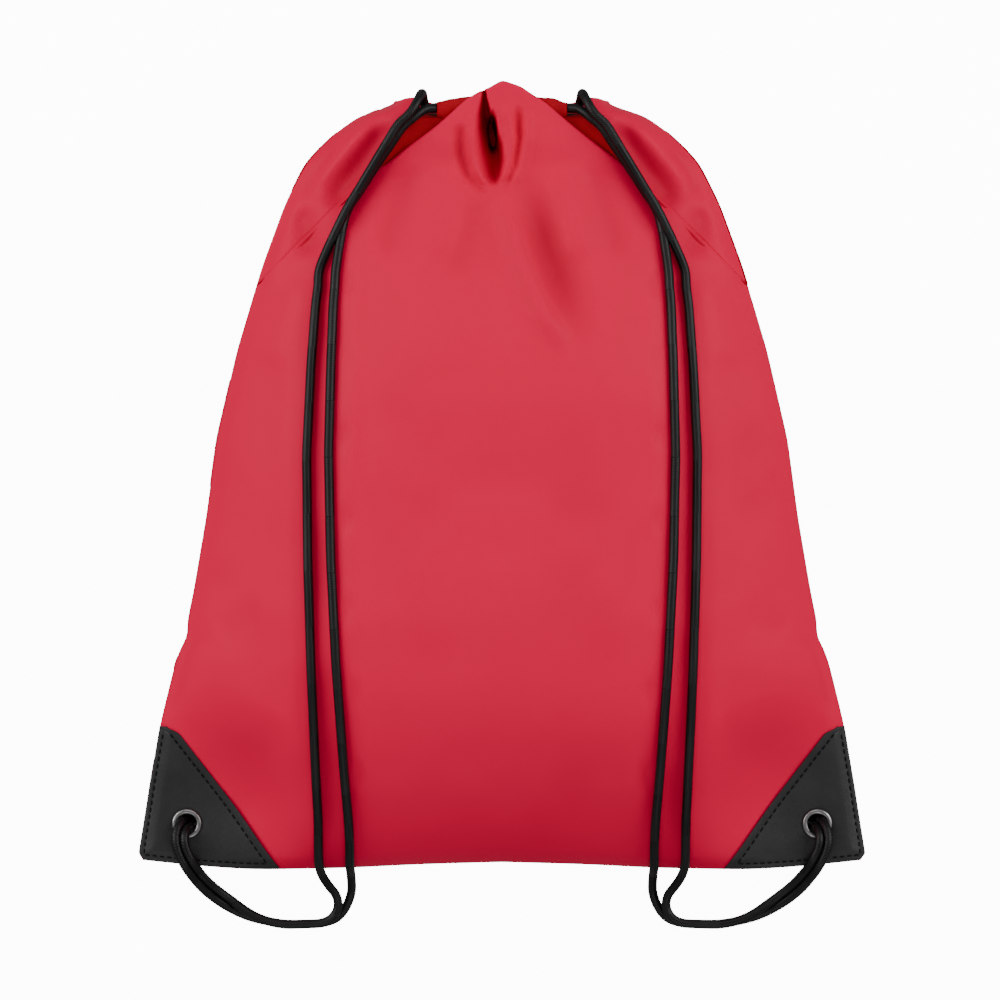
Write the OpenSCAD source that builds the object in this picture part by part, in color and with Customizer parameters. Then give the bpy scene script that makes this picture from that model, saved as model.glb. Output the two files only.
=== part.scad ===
// Drawstring backpack: two sewn fabric panels, leather corner patches, eyelets and two doubled
// cords that close the mouth and serve as shoulder straps. It lies flat on its front panel with
// the straps up: +X is the right side seen from above, +Y the mouth, +Z away from the floor.

/* [Bag] */
// Width of the cut panel, side seam to side seam
panel_w = 350; // [320:5:400]
// Height of the cut panel, bottom seam to the hem fold
panel_h = 410; // [380:5:450]
// Thickness of the filled bag at its belly
belly = 84; // [60:2:110]
// Height of the bottom corners, held off the floor by the knots
corner_z = 15; // [15:0.5:20]
// Thickness of the panel cloth, as a solid
cloth_t = 0.8; // [0.6:0.1:1]

/* [Corner patches] */
// Thickness of the leather
patch_t = 1; // [0.8:0.1:1.2]
// Height of a patch along the side seam
patch_h = 66; // [55:1:75]
// Length of a patch along the bottom seam
patch_l = 68; // [60:1:75]
// Pitch of the patch stitches
stitch_pitch = 4; // [3.5:0.5:6]

/* [Eyelets] */
// Hole in the eyelet
eyelet_d = 9.2; // [9.2:0.1:9.6]
// Outer diameter of the eyelet's flange
flange_d = 13.4; // [13:0.2:15]

/* [Cords] */
// Diameter of the braided cord
cord_d = 4.4; // [4:0.1:4.4]
// Sides of a cord's tube
cord_sides = 8; // [6:1:10]

/* [Hidden] */

// Scale of the drawn shape against the standard 350 x 410 mm panel
kx = panel_w / 350;
ky = panel_h / 410;

// Drawn outline: height along the bag, then half width, on the standard panel
OUTLINE = [
    [-187, 175], [-150, 169.5], [-118, 164], [-90, 157], [-79, 153], [-55, 148], [-20, 142],
    [17, 137], [60, 127], [100, 115], [130, 104], [150, 94], [164, 80], [174, 63], [180, 50],
    [183, 41]
];
corner_x = OUTLINE[0][1];
y_bottom = OUTLINE[0][0];
y_mouth = 180;
// The front panel wraps round the shoulders along its last rows, and the side seams leave the
// outline a little below
front_rows = 32;
wing_rows = 7;
wing_y = y_mouth - (y_mouth - y_bottom) * wing_rows / front_rows;
seam_leave_y = wing_y - 8;
// Foot of the mouth's side slits, where the side seams stop
slit_y = 146;
slit_x = 62;
// Fold of the back panel from the middle of the mouth down to the slits
CREST = [[0, 188], [10, 181], [35, 161], [slit_x, slit_y]];
// The back panel stops here, where its hem channel goes on
hem_y = 165.5;
hem_top = 179.5;

// Heights of the seam above the corners
SEAM_Z = [[-187, 0], [-140, 0], [-60, 10], [60, 16], [183, 18]];
// Half of the gap between the two panels at a seam
seam_gap = 0.7;
// Gap between the cloth and a patch, and width of the patch's tip on the side seam
patch_gap = 0.5;
patch_tip = 17;

eyelet_x = 151.5;
eyelet_y = -167.5;
// Half thickness of the corner stack, to the outside of the panels and of the patches
panel_out = seam_gap + cloth_t;
patch_out = panel_out + patch_gap + patch_t;
flange_t = 0.6;
barrel_t = 0.6;
flange_gap = 0.15;

cord_r = cord_d / 2;
// Room left under a cord that lies on the cloth
cord_gap = 0.5;
// Half distance of the two strands of a doubled cord
pair_off = cord_r + 0.12;
floor_gap = 0.1;

// Seam allowance inside the bag, clear of the corners by seam_end
seam_w = 6;
seam_t = 0.6;
seam_end = 9;
// One stitch, and how far it stands off what it is sewn on
stitch_l = 2.4;
stitch_w = 0.7;
stitch_t = 0.4;
stitch_gap = 0.3;
patch_stitch_inset = 3.4;

// The knot under each corner
knot_r = 5.4;
tail_l = 14;

// Half lengths of the hem channels, and the half height and wall of their tubes
channel_x = 31;
front_channel_x = 36;
channel_wall = 0.8;
channel_half = 4.6;
channel_gap = 0.7;
hem_stitch_y = 172;
// Straight stretch of a cord where it leaves a channel
straight = 1.6;

function smooth(a) = let (c = min(1, max(0, a))) c * c * (3 - 2 * c);
function half_w(y) = lookup(y, OUTLINE);
function seam_z(y) = corner_z + lookup(y, SEAM_Z);
// Share of the full thickness that the filling gives at a height along the bag
function rise(y) = pow(1 - pow(1 - min(1, max(0, y - y_bottom) / 150), 2.4), 0.75);
function fall(y) = 1 - 0.62 * smooth((y - 30) / 160);
// Share of the filling across the bag, from an arc at the belly to a box near the mouth
function lens(s, y) = 1 - pow(min(1, abs(s)), 2.4 + 5 * smooth((y - 140) / 40));
// The corner stack stays flat and closed around an eyelet
function open_at(x, y) = smooth((norm([abs(x) - eyelet_x, y - eyelet_y]) - 11) / 60);
function fill(x, y) = lens(x / half_w(y), y) * open_at(x, y);
// Outer face of the cloth above and below the seam
function top_z(x, y) = let (z = seam_z(y) + panel_out)
    z + (belly - z) * rise(y) * fall(y) * fill(x, y);
function low_z(x, y) = let (z = seam_z(y) - panel_out)
    z * (1 - min(1, 1.5 * rise(y) * fill(x, y)) * (1 - 0.45 * smooth((y - 110) / 70)));
function scaled(p) = [p[0] * kx, p[1] * ky, p[2]];

// Side limit of the back panel: the outline, then the side seam up to the slit
function back_w(y) = lookup(y, concat(
    [for (p = OUTLINE) if (p[0] < seam_leave_y) p],
    [[seam_leave_y, half_w(seam_leave_y)], [slit_y, slit_x]]));
back_channel_z = top_z(0, hem_y) - 4;
front_channel_z = low_z(0, y_mouth) + cloth_t + channel_half + channel_gap;
function back_top(x) = min(hem_y, lookup(abs(x), CREST));
// Edge of the front panel where it wraps round the shoulder: seam first, then the slit
function wing_x(y) = lookup(y, [[wing_y, back_w(wing_y) + 0.8], [slit_y, slit_x + 1],
    [y_mouth, 43]]);

function back_point(u, v) = let (
    y = y_bottom + (back_top(u * slit_x) - y_bottom) * v, x = u * back_w(y))
    [x, y, top_z(x, y)];
function front_point(u, v) = let (
    y = y_bottom + (y_mouth - y_bottom) * v, x = u * half_w(y))
    [x, y, low_z(x, y)];
function wing_point(u, v) = let (
    y = wing_y + (y_mouth - wing_y) * v, w = half_w(y),
    x = min(w, wing_x(y) + (w - wing_x(y)) * u / 0.9))
    [x, y, u < 0.95 ? top_z(x, y) : seam_z(y) - panel_out - cloth_t / 2];
function patch_point(u, v) = let (
    y = y_bottom + patch_gap + patch_h * v, outer = half_w(y) - patch_gap,
    inner = corner_x - patch_l + (patch_l - patch_tip) * v, x = inner + (outer - inner) * u)
    [x, y, 0];

// A closed sheet from two grids of points, rows of nu + 1 points, with its edges walled.
// The facets of a mirrored sheet are the same on both sides of its middle column
module sheet(outside, inside, nu, nv, mirrored = false) {
    n = (nu + 1) * (nv + 1);
    rim = concat(
        [for (i = [0 : nu - 1]) i], [for (j = [0 : nv - 1]) j * (nu + 1) + nu],
        [for (i = [nu : -1 : 1]) nv * (nu + 1) + i], [for (j = [nv : -1 : 1]) j * (nu + 1)]);
    halves = [for (j = [0 : nv - 1]) for (i = [0 : nu - 1])
        let (a = j * (nu + 1) + i, b = a + 1, c = a + nu + 2, d = a + nu + 1)
        each (mirrored && i < nu / 2 ? [[a, d, b], [b, d, c]] : [[a, d, c], [a, c, b]])];
    polyhedron(concat(outside, inside), concat(
        halves,
        [for (f = halves) [n + f[0], n + f[2], n + f[1]]],
        [for (k = [0 : len(rim) - 1]) let (a = rim[k], b = rim[(k + 1) % len(rim)])
            each [[a, b, n + b], [a, n + b, n + a]]]));
}

function unit(v) = v / max(norm(v), 1e-9);
// Surface direction on the height field, pointing away from the floor
function up_dir(x, y, low) = let (
    d = 0.5,
    gx = low ? low_z(x + d, y) - low_z(x - d, y) : top_z(x + d, y) - top_z(x - d, y),
    gy = low ? low_z(x, y + d) - low_z(x, y - d) : top_z(x, y + d) - top_z(x, y - d))
    unit([-gx / (2 * d), -gy / (2 * d), 1]);
// A point lifted off the back (low = false) or front (low = true) cloth, outwards
function off_cloth(x, y, h, low = false) = low
    ? [x, y, low_z(x, y)] - h * up_dir(x, y, true)
    : [x, y, top_z(x, y)] + h * up_dir(x, y, false);

// Routes of the left side's cords, as [x, y, z]; z is worked out where a point has only [x, y]
function on_cloth(p) = len(p) > 2 ? p : [p[0], p[1],
    top_z(p[0], p[1]) + (cord_r + cord_gap) / up_dir(p[0], p[1], false)[2]];
function route(points) = [for (p = points) scaled(on_cloth(p))];
// The same points with others between them, so that a long run follows the cloth
function finer(points, pitch = 16) = [for (i = [1 : len(points) - 1]) let (
    a = points[i - 1], b = points[i], n = ceil(norm(b - a) / pitch))
    for (k = [i == 1 ? 0 : 1 : n]) a + (b - a) * k / n];
// The same points moved to one side of their own direction, seen from above
function beside(points, d) = let (n = len(points)) [for (i = [0 : n - 1]) let (
    p = points[i], t = points[min(i + 1, n - 1)] - points[max(i - 1, 0)],
    h = unit([-t[1], t[0]]))
    concat([p[0] + d * h[0], p[1] + d * h[1]], len(p) > 2 ? [p[2]] : [])];

// The two strands lie together from the mouth to the shoulder
PAIR_TOP = [[-48.5, 166.5], [-53, 159.5], [-60.5, 148], [-68, 136], [-75, 124]];
OUTER_RUN = [[-83, 113], [-86.5, 100], [-89, 80], [-91, 52], [-93, 10], [-92.5, -40],
    [-91, -90], [-89, -140], [-88, -165], [-88, -177]];
INNER_RUN = [[-77.5, 113], [-79, 100], [-80.5, 80], [-81.5, 52], [-82.5, 10], [-81.5, -40],
    [-79, -90], [-75.5, -140], [-73.5, -165], [-73, -177]];
// Below the bag each strand drops to the floor and turns towards its corner
lane_r = 11.2;
LANE_AT = [-87.5, -204.5];
floor_z = cord_r + floor_gap;
OUTER_DROP = [[-88, -177.8], [-88, -182.5, 29], [-88, -187.5, 24], [-87, -191.5, 16],
    [-84.5, -195.5, 8], [-80.5, -200, 3.6]];
INNER_DROP = [[-73, -177.8], [-73, -182.5, 30], [-73, -187.5, 25], [-72.8, -191.5, 16],
    [-73, -197, 7.5], [-73.6, -201.5, 3.4]];
lip_z = corner_z + patch_out + cord_r + 0.3;
PAIR_LOOP = [[-101, -215, floor_z], [-117, -211, floor_z], [-131, -204, 3.2],
    [-141, -197.5, 8.5], [-147, -191.5, 16.5], [-150, -186.5, lip_z + 2.8],
    [-151.4, -181, lip_z + 4], [-151.5, -176, lip_z + 4.2], [-151.5, -171.5, lip_z + 3],
    [-151.5, -168.6, lip_z + 0.4], [-151.5, -167.5, lip_z - 2.4]];
function lane(r) = [for (a = [0, -45, -90])
    [LANE_AT[0] + r * cos(a), LANE_AT[1] + r * sin(a), floor_z]];
OUTER_LOOP = concat(route(concat(OUTER_DROP, lane(lane_r - pair_off))),
    route(beside(PAIR_LOOP, -pair_off)));
INNER_LOOP = concat(route(concat(INNER_DROP, lane(lane_r + pair_off))),
    route(beside(PAIR_LOOP, pair_off)));

// At the mouth one strand goes into the back channel and the other into the front channel
channel_y = 175;
turn_y = channel_y - 2 * pair_off;
INNER_TOP = concat(route([[-channel_x - 0.1, channel_y, back_channel_z],
        [-channel_x - straight, channel_y, back_channel_z],
        [-36.5, 174.6, back_channel_z + 1.5], [-41, 171.5, back_channel_z + 4]]),
    route(beside(PAIR_TOP, pair_off)), route([[-77.3, 113.8]]));
OUTER_TOP = concat(route([[-front_channel_x - 0.1, channel_y, front_channel_z],
        [-front_channel_x - straight, channel_y, front_channel_z],
        [-39.6, 178.2, front_channel_z + 3.4], [-40.4, 181.2, front_channel_z + 12],
        [-40.2, 181.4, back_channel_z - 6], [-41.5, 177.5, back_channel_z + 2.5],
        [-46, 172.5, back_channel_z + 5]]),
    route(beside(PAIR_TOP, -pair_off)), route([[-82.6, 113.8]]));
// The cord of the other side turns back here, from the back channel to the front one
TURN = [[-channel_x - 0.1, turn_y, back_channel_z],
    [-channel_x - straight, turn_y, back_channel_z], [-37, turn_y, back_channel_z - 1.8],
    [-41.2, turn_y, back_channel_z - 9], [-42, turn_y, (back_channel_z + front_channel_z) / 2],
    [-41.6, turn_y, front_channel_z + 6], [-39.4, turn_y, front_channel_z + 1.4],
    [-front_channel_x - straight, turn_y, front_channel_z],
    [-front_channel_x - 0.1, turn_y, front_channel_z]];

// Sideways direction at point i of a route, carried along it without twist
function carried(dirs, i) = i == 0
    ? unit(cross(dirs[0], abs(dirs[0][2]) > 0.8 ? [0, 1, 0] : [0, 0, 1]))
    : let (s = carried(dirs, i - 1)) unit(s - (s * dirs[i]) * dirs[i]);

// Tube swept along points, each ring square to the route
module tube(points, r, sides = cord_sides) {
    n = len(points);
    dirs = [for (i = [0 : n - 1])
        unit(points[min(i + 1, n - 1)] - points[max(i - 1, 0)])];
    rings = [for (i = [0 : n - 1])
        let (side = carried(dirs, i), up = cross(side, dirs[i]))
        for (k = [0 : sides - 1]) let (a = 360 * k / sides)
            points[i] + r * (cos(a) * side + sin(a) * up)];
    polyhedron(rings, concat(
        [[for (k = [sides - 1 : -1 : 0]) k]],
        [[for (k = [0 : sides - 1]) (n - 1) * sides + k]],
        [for (i = [0 : n - 2]) for (k = [0 : sides - 1])
            let (a = i * sides + k, b = i * sides + (k + 1) % sides)
            each [[a, b + sides, a + sides], [a, b, b + sides]]]));
}

module eyelet_hole(side) {
    translate([side * eyelet_x * kx, eyelet_y * ky, corner_z - 10])
        cylinder(d = eyelet_d + 2 * barrel_t + 0.4, h = 20, $fn = 32);
}

module back_panel() {
    nu = 28;
    nv = 32;
    grid = [for (j = [0 : nv]) for (i = [0 : nu]) back_point(2 * i / nu - 1, j / nv)];
    color("#CE2B40") difference() {
        sheet([for (p = grid) scaled(p)],
            [for (p = grid) scaled(off_cloth(p[0], p[1], -cloth_t))], nu, nv, true);
        for (side = [-1, 1]) {
            eyelet_hole(side);
        }
    }
}

module front_panel() {
    nu = 28;
    nv = front_rows;
    grid = [for (j = [0 : nv]) for (i = [0 : nu]) front_point(2 * i / nu - 1, j / nv)];
    color("#C4263A") difference() {
        union() {
            sheet([for (p = grid) scaled(off_cloth(p[0], p[1], -cloth_t, true))],
                [for (p = grid) scaled(p)], nu, nv, true);
            for (side = [-1, 1]) {
                mirror([side < 0 ? 1 : 0, 0, 0]) shoulder_wing();
            }
        }
        for (side = [-1, 1]) {
            eyelet_hole(side);
        }
    }
}

// The part of the front panel that wraps over the right shoulder
module shoulder_wing() {
    nu = 10;
    nv = wing_rows;
    grid = [for (j = [0 : nv]) for (i = [0 : nu]) wing_point(i / nu, j / nv)];
    sheet([for (p = grid) scaled(p)],
        [for (k = [0 : len(grid) - 1]) let (p = grid[k], i = k % (nu + 1))
            scaled(i == nu ? [p[0] - cloth_t, p[1], p[2]]
                : i == nu - 1 ? [p[0] - cloth_t, p[1], p[2] - cloth_t / 2]
                : off_cloth(p[0], p[1], -cloth_t))], nu, nv);
}

// Strip of sewn seam allowance inside the bag, along one side up to the slit
module side_seam(side) {
    nu = 1;
    nv = 20;
    grid = [for (j = [0 : nv]) for (i = [0 : nu]) let (
        y = y_bottom + seam_end + (slit_y - 1 - y_bottom - seam_end) * j / nv,
        edge = back_w(y) - seam_gap, x = edge - seam_w * (1 - i))
        [x, y, top_z(edge, y) - panel_out + seam_t / 2]];
    color("#B01F30") mirror([side < 0 ? 1 : 0, 0, 0]) sheet([for (p = grid) scaled(p)],
        [for (p = grid) scaled(p - [0, 0, seam_t])], nu, nv);
}

module bottom_seam() {
    reach = corner_x - seam_end;
    color("#B01F30") translate([-reach * kx, (y_bottom + seam_gap) * ky, corner_z - seam_t / 2])
        cube([2 * reach * kx, seam_w, seam_t]);
}

// Outline of a hem channel's section at x: a flat rounded tube, from y0 to y1 about height z
function channel_ring(x, y0, y1, z, half, sides) = let (c = (y0 + y1) / 2, h = (y1 - y0) / 2)
    [for (k = [0 : sides - 1]) let (a = 360 * k / sides)
        [x, c + h * sign(cos(a)) * pow(abs(cos(a)), 0.7),
            z + half * sign(sin(a)) * pow(abs(sin(a)), 0.7)]];

// A hem turned over and stitched into a tube, open at both ends, along X.
// crest is the extra height of its fold at the middle of the mouth
module hem_channel(reach, y0, y1, z, half, crest) {
    sides = 16;
    n = 12;
    xs = [for (i = [0 : n]) -reach + 2 * reach * i / n];
    tops = [for (x = xs) y1 + crest * pow(1 - abs(x) / reach, 2)];
    outer = [for (i = [0 : n]) each channel_ring(xs[i], y0, tops[i], z, half, sides)];
    inner = [for (i = [0 : n]) each channel_ring(xs[i], y0 + channel_wall,
        tops[i] - channel_wall, z, half - channel_wall, sides)];
    m = (n + 1) * sides;
    polyhedron([for (p = concat(outer, inner)) scaled(p)], concat(
        [for (i = [0 : n - 1]) for (k = [0 : sides - 1])
            let (a = i * sides + k, b = i * sides + (k + 1) % sides)
            each [[a, b + sides, b], [a, a + sides, b + sides],
                [m + a, m + b, m + b + sides], [m + a, m + b + sides, m + a + sides]]],
        [for (k = [0 : sides - 1]) let (b = (k + 1) % sides, e = n * sides)
            each [[k, m + b, m + k], [k, b, m + b],
                [e + k, m + e + b, e + b], [e + k, m + e + k, m + e + b]]]));
}

module back_hem_channel() {
    color("#CE2B40") hem_channel(channel_x, hem_y + channel_gap, hem_top, back_channel_z,
        channel_half, -y_bottom - hem_top);
}

module front_hem_channel() {
    color("#C4263A") hem_channel(front_channel_x, hem_y + channel_gap, y_mouth, front_channel_z,
        channel_half, 0);
}

// A row of thread stitches along X, on the hem channel at height z
module hem_stitches(reach, z) {
    count = floor(2 * (reach - 3) / stitch_pitch);
    color("#A81C2C") for (i = [0 : count - 1]) {
        x = (i - (count - 1) / 2) * stitch_pitch;
        translate([(x - stitch_l / 2) * kx, hem_stitch_y * ky, z + channel_half + 0.05])
            cube([stitch_l * kx, stitch_w, stitch_t]);
    }
}

module back_hem_stitches() {
    hem_stitches(channel_x, back_channel_z);
}

module front_hem_stitches() {
    hem_stitches(front_channel_x, front_channel_z);
}

// A leather patch over one corner, outside the back (low = false) or front cloth
module corner_patch(side, low) {
    nu = 10;
    nv = 10;
    grid = [for (j = [0 : nv]) for (i = [0 : nu]) patch_point(i / nu, j / nv)];
    face = [for (p = grid) scaled(off_cloth(p[0], p[1], patch_gap, low))];
    back = [for (p = grid) scaled(off_cloth(p[0], p[1], patch_gap + patch_t, low))];
    color("#2F2F31") difference() {
        mirror([side < 0 ? 1 : 0, 0, 0])
            sheet(low ? face : back, low ? back : face, nu, nv);
        eyelet_hole(side);
    }
}

// Stitches round the edge of a patch, each a short bar on the leather
module patch_stitches(side, low) {
    inset = patch_stitch_inset;
    height = patch_gap + patch_t + stitch_gap;
    tip_y = y_bottom + patch_h - 2.4 * inset;
    a = [corner_x - patch_l + 2.2 * inset, y_bottom + inset];
    b = [corner_x - 1.2 * inset, y_bottom + inset];
    c = [half_w(tip_y) - 1.2 * inset, tip_y];
    rows = [[a, b], [b, c], [c, a]];
    color("#161617") for (row = rows) {
        run = norm(row[1] - row[0]);
        count = floor(run / stitch_pitch);
        turn = atan2(row[1][1] - row[0][1], row[1][0] - row[0][0]);
        for (i = [0 : count - 1]) {
            at = row[0] + (row[1] - row[0]) * (i + 0.5) / count;
            p = scaled(off_cloth(at[0], at[1], height, low));
            translate([side * p[0], p[1], p[2] + (low ? -1 : 1) * stitch_t / 2])
                rotate([0, 0, side * turn])
                    cube([stitch_l, stitch_w, stitch_t], center = true);
        }
    }
}

// Rolled eyelet: a flange and a barrel through the corner stack, with a true bore
module eyelet(side) {
    top = corner_z + patch_out + flange_gap;
    low = corner_z - patch_out - flange_gap;
    color("#77716B") translate([side * eyelet_x * kx, eyelet_y * ky, 0]) difference() {
        union() {
            translate([0, 0, low - flange_t])
                cylinder(d = eyelet_d + 2 * barrel_t, h = top - low + 2 * flange_t, $fn = 48);
            translate([0, 0, top]) cylinder(d = flange_d, h = flange_t, $fn = 48);
        }
        translate([0, 0, low - flange_t - 1])
            cylinder(d = eyelet_d, h = top - low + 2 * flange_t + 2, $fn = 48);
    }
}

// The washer that the barrel is rolled over, under the corner
module washer(side) {
    color("#77716B") translate([side * eyelet_x * kx, eyelet_y * ky,
            corner_z - patch_out - flange_gap - flange_t])
        difference() {
            cylinder(d = flange_d, h = flange_t, $fn = 48);
            translate([0, 0, -1])
                cylinder(d = eyelet_d + 2 * barrel_t + 0.1, h = flange_t + 2, $fn = 48);
        }
}

// The two strands standing in the eyelet, down to the knot
module strap_neck(side) {
    bottom = 2 * knot_r;
    color("#17171A") for (lane_side = [-1, 1]) {
        translate([side * eyelet_x * kx + lane_side * pair_off, eyelet_y * ky, bottom])
            cylinder(r = cord_r, h = corner_z + patch_out - bottom, $fn = 24);
    }
}

// Overhand knot in both ends of the cord, and their two short tails on the floor
module knot(side) {
    low = floor_z - knot_r;
    color("#17171A") translate([side * eyelet_x * kx, eyelet_y * ky, knot_r]) {
        sphere(r = knot_r - floor_gap, $fn = 12);
        for (lane_side = [-1, 1]) {
            tube([[lane_side * pair_off, 0, low], [lane_side * (pair_off + 1), tail_l / 2, low],
                [lane_side * (pair_off + 3), knot_r + tail_l, low]], cord_r);
        }
    }
}

// Tubes along routes of the left side
module left_cords(side, routes) {
    color("#17171A") mirror([side > 0 ? 1 : 0, 0, 0]) {
        for (points = routes) {
            tube(points, cord_r);
        }
    }
}

// The two cords side by side inside a hem channel
module channel_cords(reach, z) {
    color("#17171A") for (y = [channel_y, turn_y]) {
        translate([-reach * kx, y * ky, z]) rotate([0, 90, 0])
            cylinder(r = cord_r, h = 2 * reach * kx, $fn = 24);
    }
}

back_panel();
front_panel();
side_seam(-1);  // side_seam_left
side_seam(1);  // side_seam_right
bottom_seam();
back_hem_channel();
front_hem_channel();
back_hem_stitches();
front_hem_stitches();
corner_patch(-1, false);  // patch_back_left
corner_patch(1, false);  // patch_back_right
corner_patch(-1, true);  // patch_front_left
corner_patch(1, true);  // patch_front_right
patch_stitches(-1, false);  // stitches_back_left
patch_stitches(1, false);  // stitches_back_right
patch_stitches(-1, true);  // stitches_front_left
patch_stitches(1, true);  // stitches_front_right
eyelet(-1);  // eyelet_left
eyelet(1);  // eyelet_right
washer(-1);  // washer_left
washer(1);  // washer_right
left_cords(-1, [route(finer(OUTER_RUN))]);  // strap_left_outer
left_cords(-1, [route(finer(INNER_RUN))]);  // strap_left_inner
left_cords(1, [route(finer(OUTER_RUN))]);  // strap_right_outer
left_cords(1, [route(finer(INNER_RUN))]);  // strap_right_inner
left_cords(-1, [OUTER_TOP, INNER_TOP]);  // strap_left_top
left_cords(1, [OUTER_TOP, INNER_TOP]);  // strap_right_top
left_cords(-1, [OUTER_LOOP, INNER_LOOP]);  // strap_left_loop
left_cords(1, [OUTER_LOOP, INNER_LOOP]);  // strap_right_loop
strap_neck(-1);  // strap_left_neck
strap_neck(1);  // strap_right_neck
knot(-1);  // knot_left
knot(1);  // knot_right
left_cords(-1, [route(TURN)]);  // cord_turn_left
left_cords(1, [route(TURN)]);  // cord_turn_right
channel_cords(channel_x, back_channel_z);  // back_channel_cords
union() {  // front_channel_cords
    channel_cords(front_channel_x, front_channel_z);
}
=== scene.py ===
"""Looks of the drawstring backpack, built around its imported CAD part.

The bag lies on its front panel with the straps up: +X right, +Y to the mouth, +Z up. Shape functions
work in millimetres, as part.scad does, and meshes are written in metres.
"""
import math

import bmesh
import bpy
import numpy as np
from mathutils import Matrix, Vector


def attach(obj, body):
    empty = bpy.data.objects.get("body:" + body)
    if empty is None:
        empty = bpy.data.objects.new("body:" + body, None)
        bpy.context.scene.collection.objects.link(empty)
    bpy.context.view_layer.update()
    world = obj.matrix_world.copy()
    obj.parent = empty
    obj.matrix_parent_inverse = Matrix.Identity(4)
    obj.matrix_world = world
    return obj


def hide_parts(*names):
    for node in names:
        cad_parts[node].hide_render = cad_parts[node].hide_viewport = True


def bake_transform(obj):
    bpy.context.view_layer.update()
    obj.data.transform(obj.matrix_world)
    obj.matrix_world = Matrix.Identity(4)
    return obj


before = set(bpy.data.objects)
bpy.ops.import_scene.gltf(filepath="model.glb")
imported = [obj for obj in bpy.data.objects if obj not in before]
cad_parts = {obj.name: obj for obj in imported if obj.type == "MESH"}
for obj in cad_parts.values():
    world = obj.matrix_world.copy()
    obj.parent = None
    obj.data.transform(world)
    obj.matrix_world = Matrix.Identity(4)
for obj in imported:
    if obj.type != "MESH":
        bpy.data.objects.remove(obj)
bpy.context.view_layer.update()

MM = 0.001

# ---------------------------------------------------------------- sizes, in millimetres
BELLY = 84.0
CORNER_Z = 15.0
Y_BOTTOM, Y_MOUTH = -187.0, 180.0
SLIT_X, SLIT_Y = 62.0, 146.0
EYELET = np.array([151.5, -167.5])
EYELET_D, FLANGE_D = 9.4, 14.2
CLOTH_HOLE_R, PATCH_HOLE_R = 5.3, 5.0
CORD_D = 4.4
CORD_R = CORD_D / 2
PAIR_OFF = CORD_R + 0.12
PATCH_H, PATCH_L = 66.0, 68.0
PANEL_GAP = 1.5
CLOTH_THICK, ALLOWANCE_THICK, PATCH_THICK = 0.35, 0.5, 1.0

# Drawn outline of the bag: height, half width
OUTLINE = np.array([
    [-187, 175], [-150, 169.5], [-118, 164], [-90, 157], [-79, 153], [-55, 148], [-20, 142],
    [17, 137], [60, 127], [100, 115], [130, 104], [150, 94], [164, 80], [172, 68.5], [177, 60],
    [180, 53], [183, 44]], float)
SEAM_Z = np.array([[-187, 0], [-140, 0], [-60, 10], [60, 16], [183, 18]], float)
# Fold of the back panel round the mouth, from the left slit over both lobes to the right slit
CREST = np.array([
    [-62, 144.5], [-54, 149], [-43, 158], [-32, 166], [-24, 173], [-17, 179.5], [-11, 183],
    [-7, 184.5], [0, 188.5], [9, 185.5], [14, 182], [21, 177.5], [29, 170.5], [37, 164],
    [53, 151.5], [62, 144.5]], float)

# ---------------------------------------------------------------- shape of the filled bag


def smooth(a):
    c = np.clip(a, 0, 1)
    return c * c * (3 - 2 * c)


def rounded_lookup(table, sigma, step=0.5):
    """The table read along a line and blurred by sigma, so that its corners are round."""
    lo, hi = table[0, 0] - 40, table[-1, 0] + 40
    grid = np.arange(lo, hi, step)
    slope_a = (table[1, 1] - table[0, 1]) / (table[1, 0] - table[0, 0])
    slope_b = (table[-1, 1] - table[-2, 1]) / (table[-1, 0] - table[-2, 0])
    value = np.interp(grid, table[:, 0], table[:, 1])
    value += np.where(grid < table[0, 0], (grid - table[0, 0]) * slope_a, 0)
    value += np.where(grid > table[-1, 0], (grid - table[-1, 0]) * slope_b, 0)
    reach = int(3 * sigma / step)
    kernel = np.exp(-0.5 * (np.arange(-reach, reach + 1) * step / sigma) ** 2)
    kernel /= kernel.sum()
    padded = np.pad(value, reach, mode="edge")
    blurred = np.convolve(padded, kernel, mode="valid")
    return lambda q: np.interp(q, grid, blurred)


half_w_plain = rounded_lookup(OUTLINE, 3.5)
seam_rise = rounded_lookup(SEAM_Z, 12)
crest_y = rounded_lookup(CREST, 1.2)


def half_w(y):
    """Half width of the outline, with the small pinch in each side seam."""
    pinch = -1.2 * np.exp(-((y + 77) / 5) ** 2)
    corner = -2.6 * (1 - smooth((y - Y_BOTTOM) / 3.5))
    return half_w_plain(y) + pinch + corner


def seam_z(y):
    return CORNER_Z + seam_rise(y)


def rise(y):
    """How far the bag has filled out above its bottom seam."""
    return (1 - (1 - np.clip((y - Y_BOTTOM) / 150, 0, 1)) ** 2.4) ** 0.75


def fall(y):
    """How the bag gets thinner towards the mouth."""
    return 1 - 0.62 * smooth((y - 30) / 160)


def lens(s, y):
    """Cross section from side seam (1) to side seam (-1), which gets squarer at the mouth."""
    power = 2.4 + 5 * smooth((y - 140) / 40)
    return 1 - np.minimum(1, np.abs(s)) ** power


def fill(x, y):
    """How much the filling lifts the cloth; the corners at the eyelets stay flat."""
    near_eyelet = np.hypot(np.abs(x) - EYELET[0], y - EYELET[1])
    return lens(x / half_w_plain(y), y) * smooth((near_eyelet - 11) / 60)


def top_z(x, y):
    """Height of the back panel without its folds."""
    z = seam_z(y) + PANEL_GAP
    return z + (BELLY - z) * rise(y) * fall(y) * fill(x, y)


def low_z(x, y):
    """Height of the front panel, which rests on the floor where the bag is full."""
    z = seam_z(y) - PANEL_GAP
    full = np.minimum(1, 1.5 * rise(y) * fill(x, y))
    return z * (1 - full * (1 - 0.45 * smooth((y - 110) / 70)))


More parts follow.
